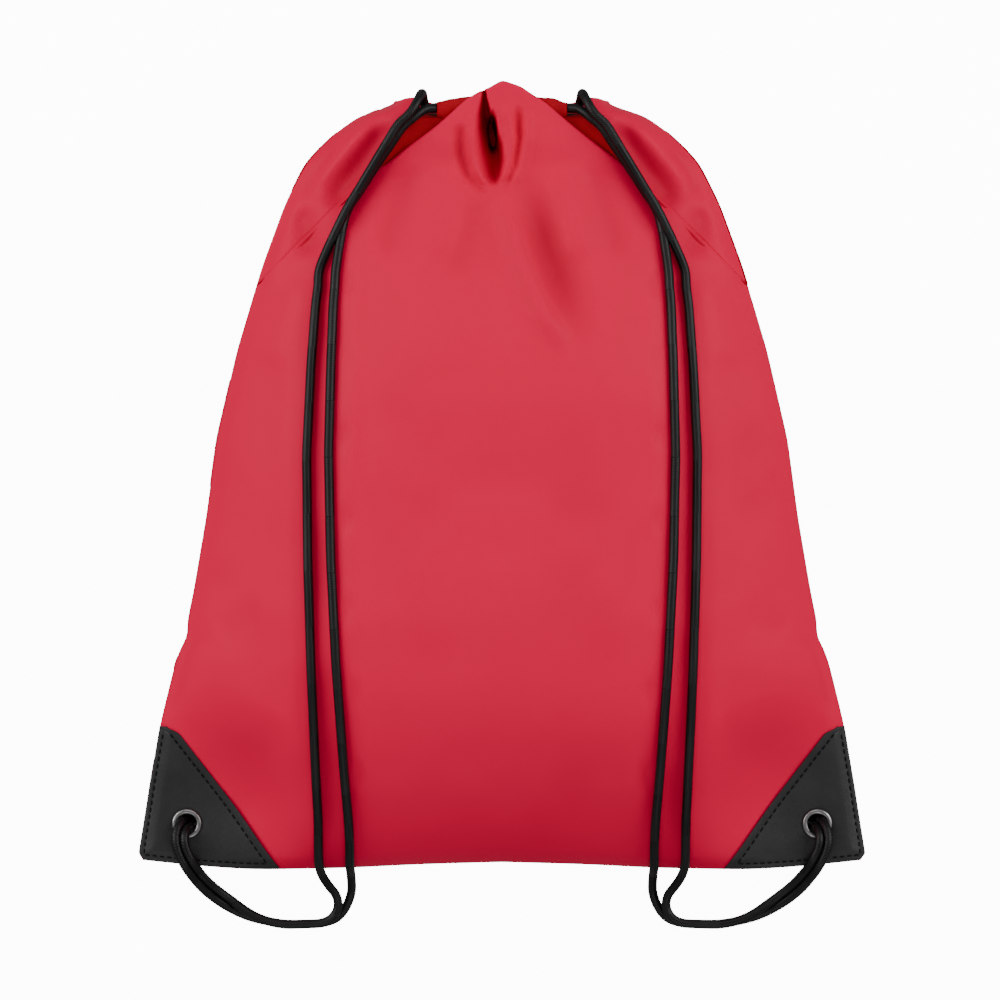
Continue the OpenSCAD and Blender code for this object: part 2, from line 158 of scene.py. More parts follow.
WING_Y = Y_MOUTH - (Y_MOUTH - Y_BOTTOM) * 7 / 32
SEAM_LEAVE_Y = WING_Y - 8


def back_w(y):
    """Side limit of the back panel: the outline, then the side seam up to the slit."""
    leave = float(half_w_plain(SEAM_LEAVE_Y))
    seam = np.interp(y, [SEAM_LEAVE_Y, SLIT_Y], [leave, SLIT_X])
    return np.where(y < SEAM_LEAVE_Y, half_w(y), seam)


def wing_x(y):
    """Inner edge of the front panel on top of the bag: the side seam, then the slit."""
    return np.where(y < SLIT_Y, back_w(y) - 1.2, np.interp(y, [SLIT_Y, Y_MOUTH], [SLIT_X - 1.2, 40.5]))


BOW = np.array([[0, 0.9], [40, -0.2], [73, -1.9], [120, -2.8], [150, -0.6], [175, 2.1]], float)
bow_at = rounded_lookup(BOW, 8)


def settle(obj):
    """Lets the bottom edge of the bag bow a little, as its filling presses on it."""
    co = points_of(obj)
    co[:, 1] += bow_at(np.abs(co[:, 0])) * (1 - smooth((co[:, 1] - Y_BOTTOM) / 34))
    obj.data.vertices.foreach_set("co", co.ravel() * MM)


# ---------------------------------------------------------------- folds and wrinkles


def along(points, x, y):
    """Distance from each (x, y) to a polyline, and the share of its length at the nearest point."""
    points = np.array(points, float)
    seg = np.diff(points, axis=0)
    length = np.hypot(seg[:, 0], seg[:, 1])
    start = np.concatenate([[0], np.cumsum(length)])
    best = np.full(x.shape, 1e9)
    share = np.zeros(x.shape)
    for p, d, n, s in zip(points[:-1], seg, length, start):
        t = np.clip(((x - p[0]) * d[0] + (y - p[1]) * d[1]) / n ** 2, 0, 1)
        dist = np.hypot(x - p[0] - t * d[0], y - p[1] - t * d[1])
        closer = dist < best
        best = np.where(closer, dist, best)
        share = np.where(closer, (s + t * n) / start[-1], share)
    return best, share


def crease(x, y, points, width, height, ends):
    """A soft ridge (height > 0) or valley along a polyline, fading out at both ends."""
    dist, share = along(points, x, y)
    fade = smooth(share / ends) * smooth((1 - share) / ends)
    return height * np.exp(-(dist / width) ** 2) * fade


def value_noise(x, y, cell, seed):
    """Smooth random field in -1..1, with the given cell size."""
    table = np.random.default_rng(seed).uniform(-1, 1, (64, 64))
    gx, gy = x / cell + 20, y / cell + 20
    ix, iy = np.floor(gx).astype(int), np.floor(gy).astype(int)
    fx, fy = smooth(gx - ix), smooth(gy - iy)
    a, b = table[ix % 64, iy % 64], table[(ix + 1) % 64, iy % 64]
    c, d = table[ix % 64, (iy + 1) % 64], table[(ix + 1) % 64, (iy + 1) % 64]
    return (a * (1 - fx) + b * fx) * (1 - fy) + (c * (1 - fx) + d * fx) * fy


# Strap routes over the panel on the left side, shared with part.scad
PAIR_TOP = [[-48.5, 166.5], [-53, 159.5], [-60.5, 148], [-68, 136], [-75, 124]]
OUTER_RUN = [[-83, 113], [-86.5, 100], [-89, 80], [-91, 52], [-93, 10], [-92.5, -40],
             [-91, -90], [-89, -140], [-88, -165], [-88, -177]]
INNER_RUN = [[-77.5, 113], [-79, 100], [-80.5, 80], [-81.5, 52], [-82.5, 10], [-81.5, -40],
             [-79, -90], [-75.5, -140], [-73.5, -165], [-73, -177]]
BETWEEN = [[(a[0] + b[0]) / 2, a[1]] for a, b in zip(OUTER_RUN, INNER_RUN)]

# Opening of the pleat between the two lobes of the gathered hem: height, left lip, right lip, depth
PLEAT = np.array([
    [137.5, -8, -2.5, 0], [139.5, -10, -0.6, 3], [142.5, -11.2, 0.8, 7], [150, -12.8, 2, 12],
    [158, -13.6, 1, 19], [165, -13.7, -1.5, 21], [172, -13, -4.4, 17], [180, -10.5, -7, 10],
    [186, -9, -7.8, 6]], float)
# Where the left wall of the pleat meets its right one, from -1 (left lip) to 1 (right lip)
PLEAT_FLOOR = 0.42
# Narrow gap at the bottom of the pleat: middle, half width and half length, depth
GAP_AT, GAP_HALF, GAP_DEEP = (-4.6, 163.5), (2.5, 10.0), 9.0


def pleat(x, y):
    """Depth of the funnel: its left wall slopes, its right wall falls steeply."""
    inside = (y > PLEAT[0, 0]) & (y < PLEAT[-1, 0])
    left, right, deep = (np.interp(y, PLEAT[:, 0], PLEAT[:, k]) for k in (1, 2, 3))
    s = np.clip((2 * x - left - right) / (right - left), -1, 1)
    ramp_in = np.where(s < PLEAT_FLOOR, (s + 1) / (1 + PLEAT_FLOOR), (1 - s) / (1 - PLEAT_FLOOR))
    return np.where(inside, -deep * smooth(ramp_in), 0)


def pleat_gap(x, y):
    """Share of the narrow gap where the pleat sinks deepest: 1 in it, 0 outside. The cloth stays
    closed there and is painted near-black as the shadow of the opening into the bag.
    """
    away = np.hypot((x - GAP_AT[0]) / GAP_HALF[0], (y - GAP_AT[1]) / GAP_HALF[1])
    return 1 - smooth((away - 0.55) / 0.6)


# Creases of the back panel: route, width, height (a valley is below 0) and share that fades out
PLEAT_CREASES = [
    # rolled rims round the funnel, two on its right and one on its left
    ([[1, 178], [4, 167], [5.3, 159], [3.6, 148], [-1, 138]], 2.4, 2.4, 0.15),
    ([[7.4, 177], [8.4, 162], [6.4, 148], [1, 136]], 2.2, -2.6, 0.15),
    ([[12.6, 174], [12, 160], [9, 148], [3, 136]], 2.8, 2.4, 0.2),
    ([[-14.8, 166], [-14.4, 152], [-11.8, 143], [-6, 136.4]], 2.4, 2.0, 0.15),
    ([[-20.5, 168], [-19.4, 153], [-15.8, 143], [-6, 134.6]], 3.0, -3.2, 0.15),
    # ridge and valley that run from the pleat to the lower right
    ([[0, 140], [4, 122], [10, 101], [20, 78], [34, 56]], 6.0, 4.6, 0.25),
    ([[10, 152], [16, 128], [23, 104], [34, 72], [40, 56]], 9.5, -5.6, 0.45),
    ([[30, 150], [34, 125], [38, 100]], 9.0, 2.4, 0.25),
    # the shorter pair on the left
    ([[-20, 150], [-26, 125], [-32, 100]], 8.0, 1.6, 0.25),
    ([[-12, 134], [-16, 115], [-24, 92]], 6.0, -1.4, 0.25)]
# The same for the creases that both sides have, drawn on the left
SIDE_CREASES = [
    # gathers fanning out from the drawn hem
    ([[-40, 150], [-50, 128], [-58, 100]], 6.0, -1.5, 0.25),
    # the strip between the two strands is pressed down, and the cloth swells beside them
    (BETWEEN, 4.6, -1.3, 0.08),
    ([[x + 9, y] for x, y in INNER_RUN], 6.0, 1.1, 0.12),
    ([[x - 10, y] for x, y in OUTER_RUN], 7.0, 1.0, 0.12),
    ([[-95, 96], [-104, 74], [-112, 48]], 9.0, 1.6, 0.25),
    # the crease from the pinch in the side seam down to the patch
    ([[-142, -76], [-149, -82], [-154, -98], [-159, -116]], 2.2, -2.0, 0.2),
    ([[-138, -76], [-128, -70], [-112, -66]], 9.0, -0.7, 0.25),
    # folds where the cloth wraps over the shoulder towards the cords
    ([[-52, 170], [-62, 156], [-72, 142], [-84, 126]], 5.5, -4.0, 0.2),
    ([[-61, 171], [-75, 156], [-92, 136]], 4.5, 2.6, 0.2),
    ([[-76, 163], [-89, 146], [-101, 131]], 4.5, -2.6, 0.3),
    ([[-97, 130], [-93, 116], [-92, 102]], 6.0, -2.6, 0.3),
    ([[-104, 122], [-110, 104], [-113, 86]], 5.0, 1.6, 0.3)]
# Middles of the short puckers where the cord has rubbed the cloth
PUCKERS_Y = (92, 55, 18, -22, -64, -104, -143)


def rubbed_creases():
    """A short valley at each pucker, a little to the right of the inner strand."""
    run = np.array(INNER_RUN)[::-1]
    for i, at in enumerate(PUCKERS_Y):
        x = float(np.interp(at, run[:, 1], run[:, 0])) + 5.5 + i % 2
        yield [[x, at - 9], [x + 1.5, at], [x, at + 9]], 2.2, -1.1, 0.4


SIDE_CREASES += rubbed_creases()


def panel_folds(x, y):
    """Height of the folds over the filled shape."""
    z = pleat(x, y) - GAP_DEEP * pleat_gap(x, y)
    for shape in PLEAT_CREASES:
        z += crease(x, y, *shape)
    for shape in SIDE_CREASES:
        z += crease(x, y, *shape) + crease(-x, y, *shape)
    z += 0.7 * value_noise(x, y, 38, 3) + 0.35 * value_noise(x, y, 17, 5)
    return z * smooth((half_w(y) - np.abs(x)) / 12) * smooth((y - Y_BOTTOM) / 10)


# ---------------------------------------------------------------- visible surfaces


def edge_pinch(x, y):
    """How far the cloth closes towards the seam near the outline."""
    near = 1 - smooth((half_w(y) - np.abs(x)) / 7)
    low = 1 - smooth((y - Y_BOTTOM) / 6)
    share = np.maximum(near, low)
    return share * (PANEL_GAP - 0.25 + 0.25 * smooth((y - SEAM_LEAVE_Y + 4) / 4))


def back_surface(x, y):
    sewn = smooth((y - SEAM_LEAVE_Y) / 6) * smooth((SLIT_Y - y) / 6)
    tucked = 0.10 * (1 - smooth((back_w(y) - np.abs(x)) / 2.5)) * sewn
    lobes = 2.6 * smooth((y - 146) / 16) * smooth((42 - np.abs(x)) / 14)
    return top_z(x, y) - edge_pinch(x, y) + panel_folds(x, y) + lobes - tucked


def wing_surface(x, y):
    under = 0.80 * (1 - smooth((np.abs(x) - wing_x(y)) / 2.2))
    return top_z(x, y) - edge_pinch(x, y) + panel_folds(x, y) - under


def front_surface(x, y):
    wave = 0.5 * value_noise(x, y, 30, 11) * smooth((low_z(x, y) - 1) / 5)
    return np.maximum(0.05, low_z(x, y) + edge_pinch(x, y) + wave)


# ---------------------------------------------------------------- mesh helpers

BRAID_SIDES, BRAID_STEP = 32, 0.42
BRAID_CARRIERS, BRAID_PITCH = 8, 10.0


def new_mesh(name, verts, faces):
    mesh = bpy.data.meshes.new(name)
    mesh.from_pydata([tuple(v) for v in np.asarray(verts, float) * MM], [], faces)
    mesh.polygons.foreach_set("use_smooth", [True] * len(mesh.polygons))
    mesh.validate()
    obj = bpy.data.objects.new(name, mesh)
    bpy.context.scene.collection.objects.link(obj)
    return obj


def store(obj, name, values):
    """Keeps one number at each point of the mesh, for a material to read."""
    layer = obj.data.attributes.new(name, "FLOAT", "POINT")
    layer.data.foreach_set("value", values.astype(np.float32))


def points_of(obj):
    """The points of a mesh in millimetres, one row each."""
    co = np.empty(len(obj.data.vertices) * 3)
    obj.data.vertices.foreach_get("co", co)
    return co.reshape(-1, 3) / MM


def grid_faces(rows, cols, flip=False):
    faces = []
    for j in range(rows - 1):
        for i in range(cols - 1):
            a = j * cols + i
            quad = (a, a + 1, a + cols + 1, a + cols)
            faces.append(quad[::-1] if flip else quad)
    return faces


def dense_steps(n, weight):
    """n + 1 numbers from 0 to 1, closer together where weight(t) is high."""
    t = np.linspace(0, 1, 2001)
    total = np.concatenate([[0], np.cumsum(weight((t[1:] + t[:-1]) / 2))])
    return np.interp(np.linspace(0, total[-1], n + 1), total, t)


def cut_hole(verts, faces, middle, radius):
    """Removes the faces inside a circle and draws the edge of the hole onto it."""
    verts = np.asarray(verts, float)
    middle = np.asarray(middle, float)
    away = np.hypot(*((verts[:, :2] - middle) / radius).T)
    kept, gone = [], set()
    for f in faces:
        if away[list(f)].mean() < 1:
            gone.update(f)
        else:
            kept.append(f)
    used = {i for f in kept for i in f}
    for i in gone & used:
        verts[i, :2] = middle + (verts[i, :2] - middle) / away[i]
    return verts, kept


def drop_loose(obj, weld=0):
    """Deletes points without faces, after welding those closer than a distance."""
    bm = bmesh.new()
    bm.from_mesh(obj.data)
    if weld:
        bmesh.ops.remove_doubles(bm, verts=bm.verts, dist=weld * MM)
        bmesh.ops.dissolve_degenerate(bm, edges=bm.edges, dist=weld * MM / 4)
    bmesh.ops.delete(bm, geom=[v for v in bm.verts if not v.link_faces], context="VERTS")
    bm.to_mesh(obj.data)
    bm.free()
    obj.data.polygons.foreach_set("use_smooth", [True] * len(obj.data.polygons))


def thicken(obj, thickness, inner_material=False):
    """Rounds a sheet and gives it its thickness, inwards from its outer face."""
    sub = obj.modifiers.new("round", "SUBSURF")
    sub.levels = sub.render_levels = 1
    solid = obj.modifiers.new("thickness", "SOLIDIFY")
    solid.thickness = thickness * MM
    solid.offset = -1
    solid.use_rim = True
    solid.material_offset = 1 if inner_material else 0


def join(name, parts):
    """One mesh from several (verts, faces) lists; a braid also brings the height of its yarns."""
    verts, faces, yarns, start = [], [], [], 0
    for v, f, *yarn in parts:
        verts.append(np.asarray(v, float))
        faces += [tuple(start + i for i in face) for face in f]
        yarns.append(yarn[0] if yarn else np.zeros(len(v)))
        start += len(v)
    obj = new_mesh(name, np.vstack(verts), faces)
    if any(len(part) == 3 for part in parts):
        store(obj, "yarn_height", np.concatenate(yarns))
    return obj


def spline(points, step=1.0):
    """Points every step along a smooth curve through the given ones."""
    p = np.array(points, float)
    p = np.vstack([2 * p[0] - p[1], p, 2 * p[-1] - p[-2]])
    out = []
    for a, b, c, d in zip(p[:-3], p[1:-2], p[2:-1], p[3:]):
        n = max(4, int(np.linalg.norm(c - b) / 0.5))
        t = np.linspace(0, 1, n, endpoint=False)[:, None]
        out.append(0.5 * (2 * b + (c - a) * t + (2 * a - 5 * b + 4 * c - d) * t ** 2
                          + (3 * b - a - 3 * c + d) * t ** 3))
    out = np.vstack([*out, p[-2:-1]])
    return evenly(out, step)


def evenly(path, step):
    dist = np.concatenate([[0], np.cumsum(np.linalg.norm(np.diff(path, axis=0), axis=1))])
    n = max(2, int(round(dist[-1] / step)))
    at = np.linspace(0, dist[-1], n + 1)
    return np.stack([np.interp(at, dist, path[:, k]) for k in range(3)], 1)


def relaxed(path, rounds):
    out = path.copy()
    for _ in range(rounds):
        out[1:-1] = (out[:-2] + 2 * out[1:-1] + out[2:]) / 4
    return out


def path_length(path):
    return float(np.linalg.norm(np.diff(path, axis=0), axis=1).sum())


def carried_frames(path):
    """Two normals of the path at each of its points, carried along without twist."""
    tangent = np.gradient(path, axis=0)
    tangent /= np.linalg.norm(tangent, axis=1)[:, None]
    first = np.cross(tangent[0], [0.0, 0.0, 1.0])
    if np.linalg.norm(first) < 0.3:
        first = np.cross(tangent[0], [0.0, 1.0, 0.0])
    sides = [first / np.linalg.norm(first)]
    for t in tangent[1:]:
        side = sides[-1] - sides[-1] @ t * t
        sides.append(side / np.linalg.norm(side))
    sides = np.array(sides)
    return sides, np.cross(sides, tangent)


def wrapped(j, i, n):
    """One face between rings j and j + 1, each of n points that close on themselves."""
    k = (i + 1) % n
    return j * n + i, (j + 1) * n + i, (j + 1) * n + k, j * n + k


def closed_tube(path, ring):
    """Verts and faces of a tube with a ring of points round each point of its path."""
    n, m = ring.shape[:2]
    verts = np.vstack([ring.reshape(-1, 3), path[:1], path[-1:]])
    faces = [wrapped(j, i, m) for j in range(n - 1) for i in range(m)]
    faces += [(n * m, i, (i + 1) % m) for i in range(m)]
    faces += [(n * m + 1, (n - 1) * m + (i + 1) % m, (n - 1) * m + i) for i in range(m)]
    return verts, faces


def braid(path):
    """A round braid, which stands up where its crossing yarns pass over, and that height."""
    step = path_length(path) / (len(path) - 1)
    side, up = carried_frames(path)
    angle = np.linspace(0, 2 * math.pi, BRAID_SIDES, endpoint=False)[None, :]
    turn = 2 * math.pi * (np.arange(len(path)) * step)[:, None] / BRAID_PITCH
    half = BRAID_CARRIERS / 2
    right = np.abs(np.cos(half * (angle - turn)))
    left = np.abs(np.cos(half * (angle + turn)))
    over = np.cos(half * angle * 2) * np.cos(half * turn * 2)
    yarn = np.where(over > 0, right, left) ** 0.6
    r = CORD_R * (0.80 + 0.23 * yarn)
    ring = path[:, None, :] + r[..., None] * (np.cos(angle)[..., None] * side[:, None, :]
                                              + np.sin(angle)[..., None] * up[:, None, :])
    return *closed_tube(path, ring), np.append(yarn.ravel(), [0, 0])


def plain_tube(path, radius, sides=8):
    side, up = carried_frames(path)
    angle = np.linspace(0, 2 * math.pi, sides, endpoint=False)[None, :, None]
    ends = np.minimum(1, np.minimum(np.arange(len(path)), np.arange(len(path))[::-1]) * 0.6 + 0.4)
    r = (radius * ends)[:, None, None]
    ring = path[:, None, :] + r * (np.cos(angle) * side[:, None, :]
                                   + np.sin(angle) * up[:, None, :])
    return closed_tube(path, ring)


def lathe(profile, middle, segments=72):
    """Verts and faces of a closed profile of (radius, height) turned about a vertical axis."""
    p = np.array(profile, float)
    angle = np.linspace(0, 2 * math.pi, segments, endpoint=False)
    ring = np.stack([p[None, :, 0] * np.cos(angle)[:, None] + middle[0],
                     p[None, :, 0] * np.sin(angle)[:, None] + middle[1],
                     np.broadcast_to(p[None, :, 1], (segments, len(p)))], 2)
    total = segments * len(p)
    faces = [tuple(i % total for i in wrapped(j, k, len(p)))
             for j in range(segments) for k in range(len(p))]
    return ring.reshape(-1, 3), faces


# ---------------------------------------------------------------- materials


def nodes_of(name, base, rough, **sockets):
    """A new material with a Principled shader; returns it, its node tree and the shader."""
    mat = bpy.data.materials.new(name)
    mat.use_nodes = True
    tree = mat.node_tree
    shader = tree.nodes["Principled BSDF"]
    shader.inputs["Base Color"].default_value = (*base, 1)
    shader.inputs["Roughness"].default_value = rough
    for key, value in sockets.items():
        shader.inputs[key.replace("_", " ")].default_value = value
    return mat, tree, shader


def add(tree, kind, **values):
    """A new node, with its sockets or settings given by name."""
    node = tree.nodes.new(kind)
    for key, value in values.items():
        if key in node.inputs:
            node.inputs[key].default_value = value
        else:
            setattr(node, key, value)
    return node


def mix_color(tree, factor, a, b):
    node = add(tree, "ShaderNodeMix", data_type="RGBA")
    tree.links.new(factor, node.inputs[0])
    for i, value in ((6, a), (7, b)):
        if isinstance(value, tuple):
            node.inputs[i].default_value = (*value, 1)
        else:
            tree.links.new(value, node.inputs[i])
    return node.outputs[2]


def place(tree):
    """The point of the surface in the frame of its piece, in metres."""
    return add(tree, "ShaderNodeTexCoord").outputs["Object"]


def noise(tree, where, scale, detail=3.0):
    node = add(tree, "ShaderNodeTexNoise", Scale=scale, Detail=detail)
    tree.links.new(where, node.inputs["Vector"])
    return node.outputs["Fac"]


def ramp(tree, value, lo, hi, a=0.0, b=1.0):
    """The value moved from the range lo to hi into the range a to b, and kept in it."""
    limits = {"From Min": lo, "From Max": hi, "To Min": a, "To Max": b}
    node = add(tree, "ShaderNodeMapRange", **limits)
    tree.links.new(value, node.inputs["Value"])
    return node.outputs["Result"]


def math_node(tree, operation, *values):
    node = add(tree, "ShaderNodeMath", operation=operation)
    for i, value in enumerate(values):
        if isinstance(value, float):
            node.inputs[i].default_value = value
        else:
            tree.links.new(value, node.inputs[i])
    return node.outputs[0]


def weave(tree, where, pitch):
    """Height of a plain weave in the XY plane of the cloth, threads pitch metres apart."""
    split = add(tree, "ShaderNodeSeparateXYZ")
    tree.links.new(where, split.inputs[0])
    waves = []
    for axis in (0, 1):
        phase = math_node(tree, "MULTIPLY", split.outputs[axis], 2 * math.pi / pitch)
        waves.append(math_node(tree, "SINE", phase))
    return math_node(tree, "MULTIPLY", *waves)


def bump(tree, shader, height, strength, distance, normal=None):
    node = add(tree, "ShaderNodeBump", Strength=strength, Distance=distance)
    tree.links.new(height, node.inputs["Height"])
    if normal is not None:
        tree.links.new(normal, node.inputs["Normal"])
    tree.links.new(node.outputs[0], shader.inputs["Normal"])
    return node.outputs[0]


def cloth_material(name, color, shade, rough, deep=None):
    mat, tree, shader = nodes_of(name, color, rough, Sheen_Weight=0.04, Sheen_Roughness=0.5,
                                 Sheen_Tint=(*color, 1), Specular_IOR_Level=0.06)
    where = place(tree)
    tone = noise(tree, where, 9.0, 2.0)
    fine = noise(tree, where, 900.0, 2.0)
    mixed = mix_color(tree, ramp(tree, tone, 0.35, 0.65, 0.0, 0.35), color, shade)
    speck = mix_color(tree, ramp(tree, fine, 0.3, 0.7, 0.0, 0.10), mixed, shade)
    # Painted shade: the red is darkened towards a deeper red where a point lies deep in a fold.
    if deep:
        folded = add(tree, "ShaderNodeAttribute", attribute_name="fold_shade").outputs["Fac"]
        speck = mix_color(tree, ramp(tree, folded, 0.0, 0.66), speck, deep)
        # Painted shadow: the closed gap of the pleat turns near-black, where the opening into the bag
        # would lie in shade.
        speck = mix_color(tree, ramp(tree, folded, 0.55, 0.95), speck, PAINTED_GAP_SHADOW)
    tree.links.new(speck, shader.inputs["Base Color"])
    tree.links.new(ramp(tree, tone, 0.3, 0.7, rough - 0.04, rough + 0.06),
                   shader.inputs["Roughness"])
    soft = bump(tree, shader, noise(tree, where, 60.0, 3.0), 0.10, 0.0015)
    bump(tree, shader, weave(tree, where, 0.0006), 0.22, 0.00006, soft)
    return mat


def leather_material():
    mat, tree, shader = nodes_of("leather", LEATHER, 0.5, Specular_IOR_Level=0.3)
    where = place(tree)
    cells = add(tree, "ShaderNodeTexVoronoi", Scale=1100.0, feature="DISTANCE_TO_EDGE")
    tree.links.new(where, cells.inputs["Vector"])
    tone = noise(tree, where, 45.0, 4.0)
    tree.links.new(mix_color(tree, ramp(tree, tone, 0.35, 0.7), LEATHER, LEATHER_WORN),
                   shader.inputs["Base Color"])
    tree.links.new(ramp(tree, tone, 0.3, 0.7, 0.56, 0.42), shader.inputs["Roughness"])
    broad = bump(tree, shader, noise(tree, where, 160.0, 3.0), 0.25, 0.0006)
    bump(tree, shader, ramp(tree, cells.outputs["Distance"], 0.0, 0.25), 0.35, 0.00012, broad)
    return mat


def cord_material():
    mat, tree, shader = nodes_of("cord_braid", CORD_BLACK, 0.40, Specular_IOR_Level=0.27)
    where = place(tree)
    fiber = noise(tree, where, 2600.0, 2.0)
    yarn = add(tree, "ShaderNodeAttribute", attribute_name="yarn_height").outputs["Fac"]
    fuzz = ramp(tree, fiber, 0.2, 0.6, 0.3, 1.0)
    # Painted highlight: the highest crests of the yarns are mixed towards a lighter grey, broken up by
    # the fibre noise.
    wear_and_painted_glint = math_node(tree, "MULTIPLY", ramp(tree, yarn, 0.80, 0.99), fuzz)
    tree.links.new(mix_color(tree, wear_and_painted_glint, CORD_BLACK, CORD_LIT), shader.inputs["Base Color"])
    bump(tree, shader, fiber, 0.5, 0.00012)
    return mat


def metal_material():
    mat, tree, shader = nodes_of("eyelet_metal", NICKEL, 0.3, Metallic=1.0)
    where = place(tree)
    # On the nickel this mask is only wear, a random darker tone; no glint is painted here.
    wear_and_painted_glint = noise(tree, where, 420.0, 4.0)
    tree.links.new(mix_color(tree, ramp(tree, wear_and_painted_glint, 0.4, 0.7), NICKEL, NICKEL_DARK),
                   shader.inputs["Base Color"])
    tree.links.new(ramp(tree, wear_and_painted_glint, 0.3, 0.7, 0.22, 0.42), shader.inputs["Roughness"])
    bump(tree, shader, noise(tree, where, 2500.0, 2.0), 0.12, 0.00005)
    return mat


def thread_material(name, color, lit):
    mat, tree, shader = nodes_of(name, color, 0.6, Specular_IOR_Level=0.08)
    where = place(tree)
    twist = noise(tree, where, 4200.0, 2.0)
    tree.links.new(mix_color(tree, twist, color, lit), shader.inputs["Base Color"])
    bump(tree, shader, twist, 0.5, 0.00008)
    return mat


# Linear colours
# The last red of this line is painted shade for the folds of the cloth.
RED, RED_SHADE, RED_PAINTED_FOLD_SHADE = (0.80, 0.0012, 0.056), (0.75, 0.0010, 0.050), (0.40, 0.0005, 0.022)
# Near-black painted shadow for the closed gap of the pleat.
PAINTED_GAP_SHADOW = (0.004, 0.0001, 0.0012)
# The inner face of the cloth is a darker, browner red: partly the coated back of the cloth, partly
# painted shade for the inside of the bag.
LINING, LINING_SHADE = (0.42, 0.0040, 0.014), (0.30, 0.0030, 0.010)
LEATHER, LEATHER_WORN = (0.016, 0.016, 0.017), (0.025, 0.025, 0.026)
CORD_BLACK, CORD_LIT = (0.0014, 0.0013, 0.0015), (0.026, 0.025, 0.026)
NICKEL, NICKEL_DARK = (0.34, 0.33, 0.33), (0.16, 0.155, 0.15)
RED_THREAD, RED_THREAD_LIT = (0.34, 0.002, 0.018), (0.50, 0.004, 0.030)
BLACK_THREAD, BLACK_THREAD_LIT = (0.0025, 0.0025, 0.0025), (0.0080, 0.0080, 0.0080)

cloth_red = cloth_material("cloth_red", RED, RED_SHADE, 0.46, RED_PAINTED_FOLD_SHADE)
cloth_lining = cloth_material("cloth_lining", LINING, LINING_SHADE, 0.6)
leather = leather_material()
cord_black = cord_material()
nickel = metal_material()
red_thread = thread_material("red_thread", RED_THREAD, RED_THREAD_LIT)
black_thread = thread_material("black_thread", BLACK_THREAD, BLACK_THREAD_LIT)


# ---------------------------------------------------------------- cords

BACK_CHANNEL_Z = float(top_z(0.0, 165.5)) - 4
FRONT_CHANNEL_Z = float(low_z(0.0, Y_MOUTH)) + 0.8 + 4.6 + 0.7
CHANNEL_Y = 175.0
TURN_Y = CHANNEL_Y - 2 * PAIR_OFF
CHANNEL_X, FRONT_CHANNEL_X = 31.0, 36.0
CORD_GAP = 0.15
LIP_Z = CORNER_Z + 3.0 + CORD_R + 0.3
FLOOR_Z = CORD_R + 0.1
# How the two strands lie one over the other from the mouth to the shoulder
STACK_SIDE, STACK_LIFT = [1.15, 1.0, 0.6, 0.35, 0.35], [3.9, 4.0, 4.3, 4.4, 3.9]

OUTER_TOP = [[-36.1, 175, FRONT_CHANNEL_Z], [-37.0, 177.4, FRONT_CHANNEL_Z + 2],
             [-37.6, 179.8, FRONT_CHANNEL_Z + 6.4], [-37.9, 181.6, FRONT_CHANNEL_Z + 13],
             [-38.2, 182.4, BACK_CHANNEL_Z - 7], [-38.9, 181.6, BACK_CHANNEL_Z + 0.6],
             [-40.2, 178.6, BACK_CHANNEL_Z + 5.8], [-42.2, 174.8, BACK_CHANNEL_Z + 8.2],
             [-44.6, 171.4, BACK_CHANNEL_Z + 8.8]]
INNER_TOP = [[-31.1, 175, BACK_CHANNEL_Z], [-32.6, 175, BACK_CHANNEL_Z],
             [-36.5, 174.6, BACK_CHANNEL_Z + 1.5], [-41, 171.5, BACK_CHANNEL_Z + 4]]
OUTER_DROP = [[-88, -182.5, 29], [-87.8, -187.5, 24.5], [-86.4, -192.5, 17.5],
              [-83.2, -197.8, 11.4], [-79.8, -202.2, 8.2]]
INNER_DROP = [[-73, -182.5, 30], [-73, -187.5, 25], [-72.7, -191.5, 16], [-72.4, -197, 7.5],
              [-72.8, -202, 3.4]]
OUTER_LANE = [[-78.8, -207.1, 6.8], [-80.2, -211.3, 6.4], [-83.3, -214.5, 6.4],
              [-87.8, -216, 6.4]]
INNER_LANE = [[-75.4, -208.6, FLOOR_Z], [-80, -213.8, FLOOR_Z], [-87.5, -216.2, FLOOR_Z]]
PAIR_LOOP = [[-98, -216.8, FLOOR_Z], [-109, -215.8, FLOOR_Z], [-121, -212.3, FLOOR_Z],
             [-132, -206, 3.2], [-141, -199, 9], [-147, -192, 17.5], [-150.6, -186.5, LIP_Z + 2.8],
             [-153.4, -181, LIP_Z + 4], [-154.6, -176, LIP_Z + 4.2], [-154.4, -171.8, LIP_Z + 3],
             [-153, -168.8, LIP_Z + 0.4], [-151.9, -167.5, LIP_Z - 2.4]]
LOOP_OFF = 2.06
TURN_SINK = 4.0
TURN = [[-31.1, TURN_Y, BACK_CHANNEL_Z - TURN_SINK], [-32.6, TURN_Y, BACK_CHANNEL_Z - TURN_SINK],
        [-37, TURN_Y, BACK_CHANNEL_Z - 5.6], [-41.2, TURN_Y, BACK_CHANNEL_Z - 11.5],
        [-42, TURN_Y, (BACK_CHANNEL_Z + FRONT_CHANNEL_Z) / 2],
        [-41.6, TURN_Y, FRONT_CHANNEL_Z + 6], [-39.4, TURN_Y, FRONT_CHANNEL_Z + 1.4],
        [-37.6, TURN_Y, FRONT_CHANNEL_Z], [-36.1, TURN_Y, FRONT_CHANNEL_Z]]


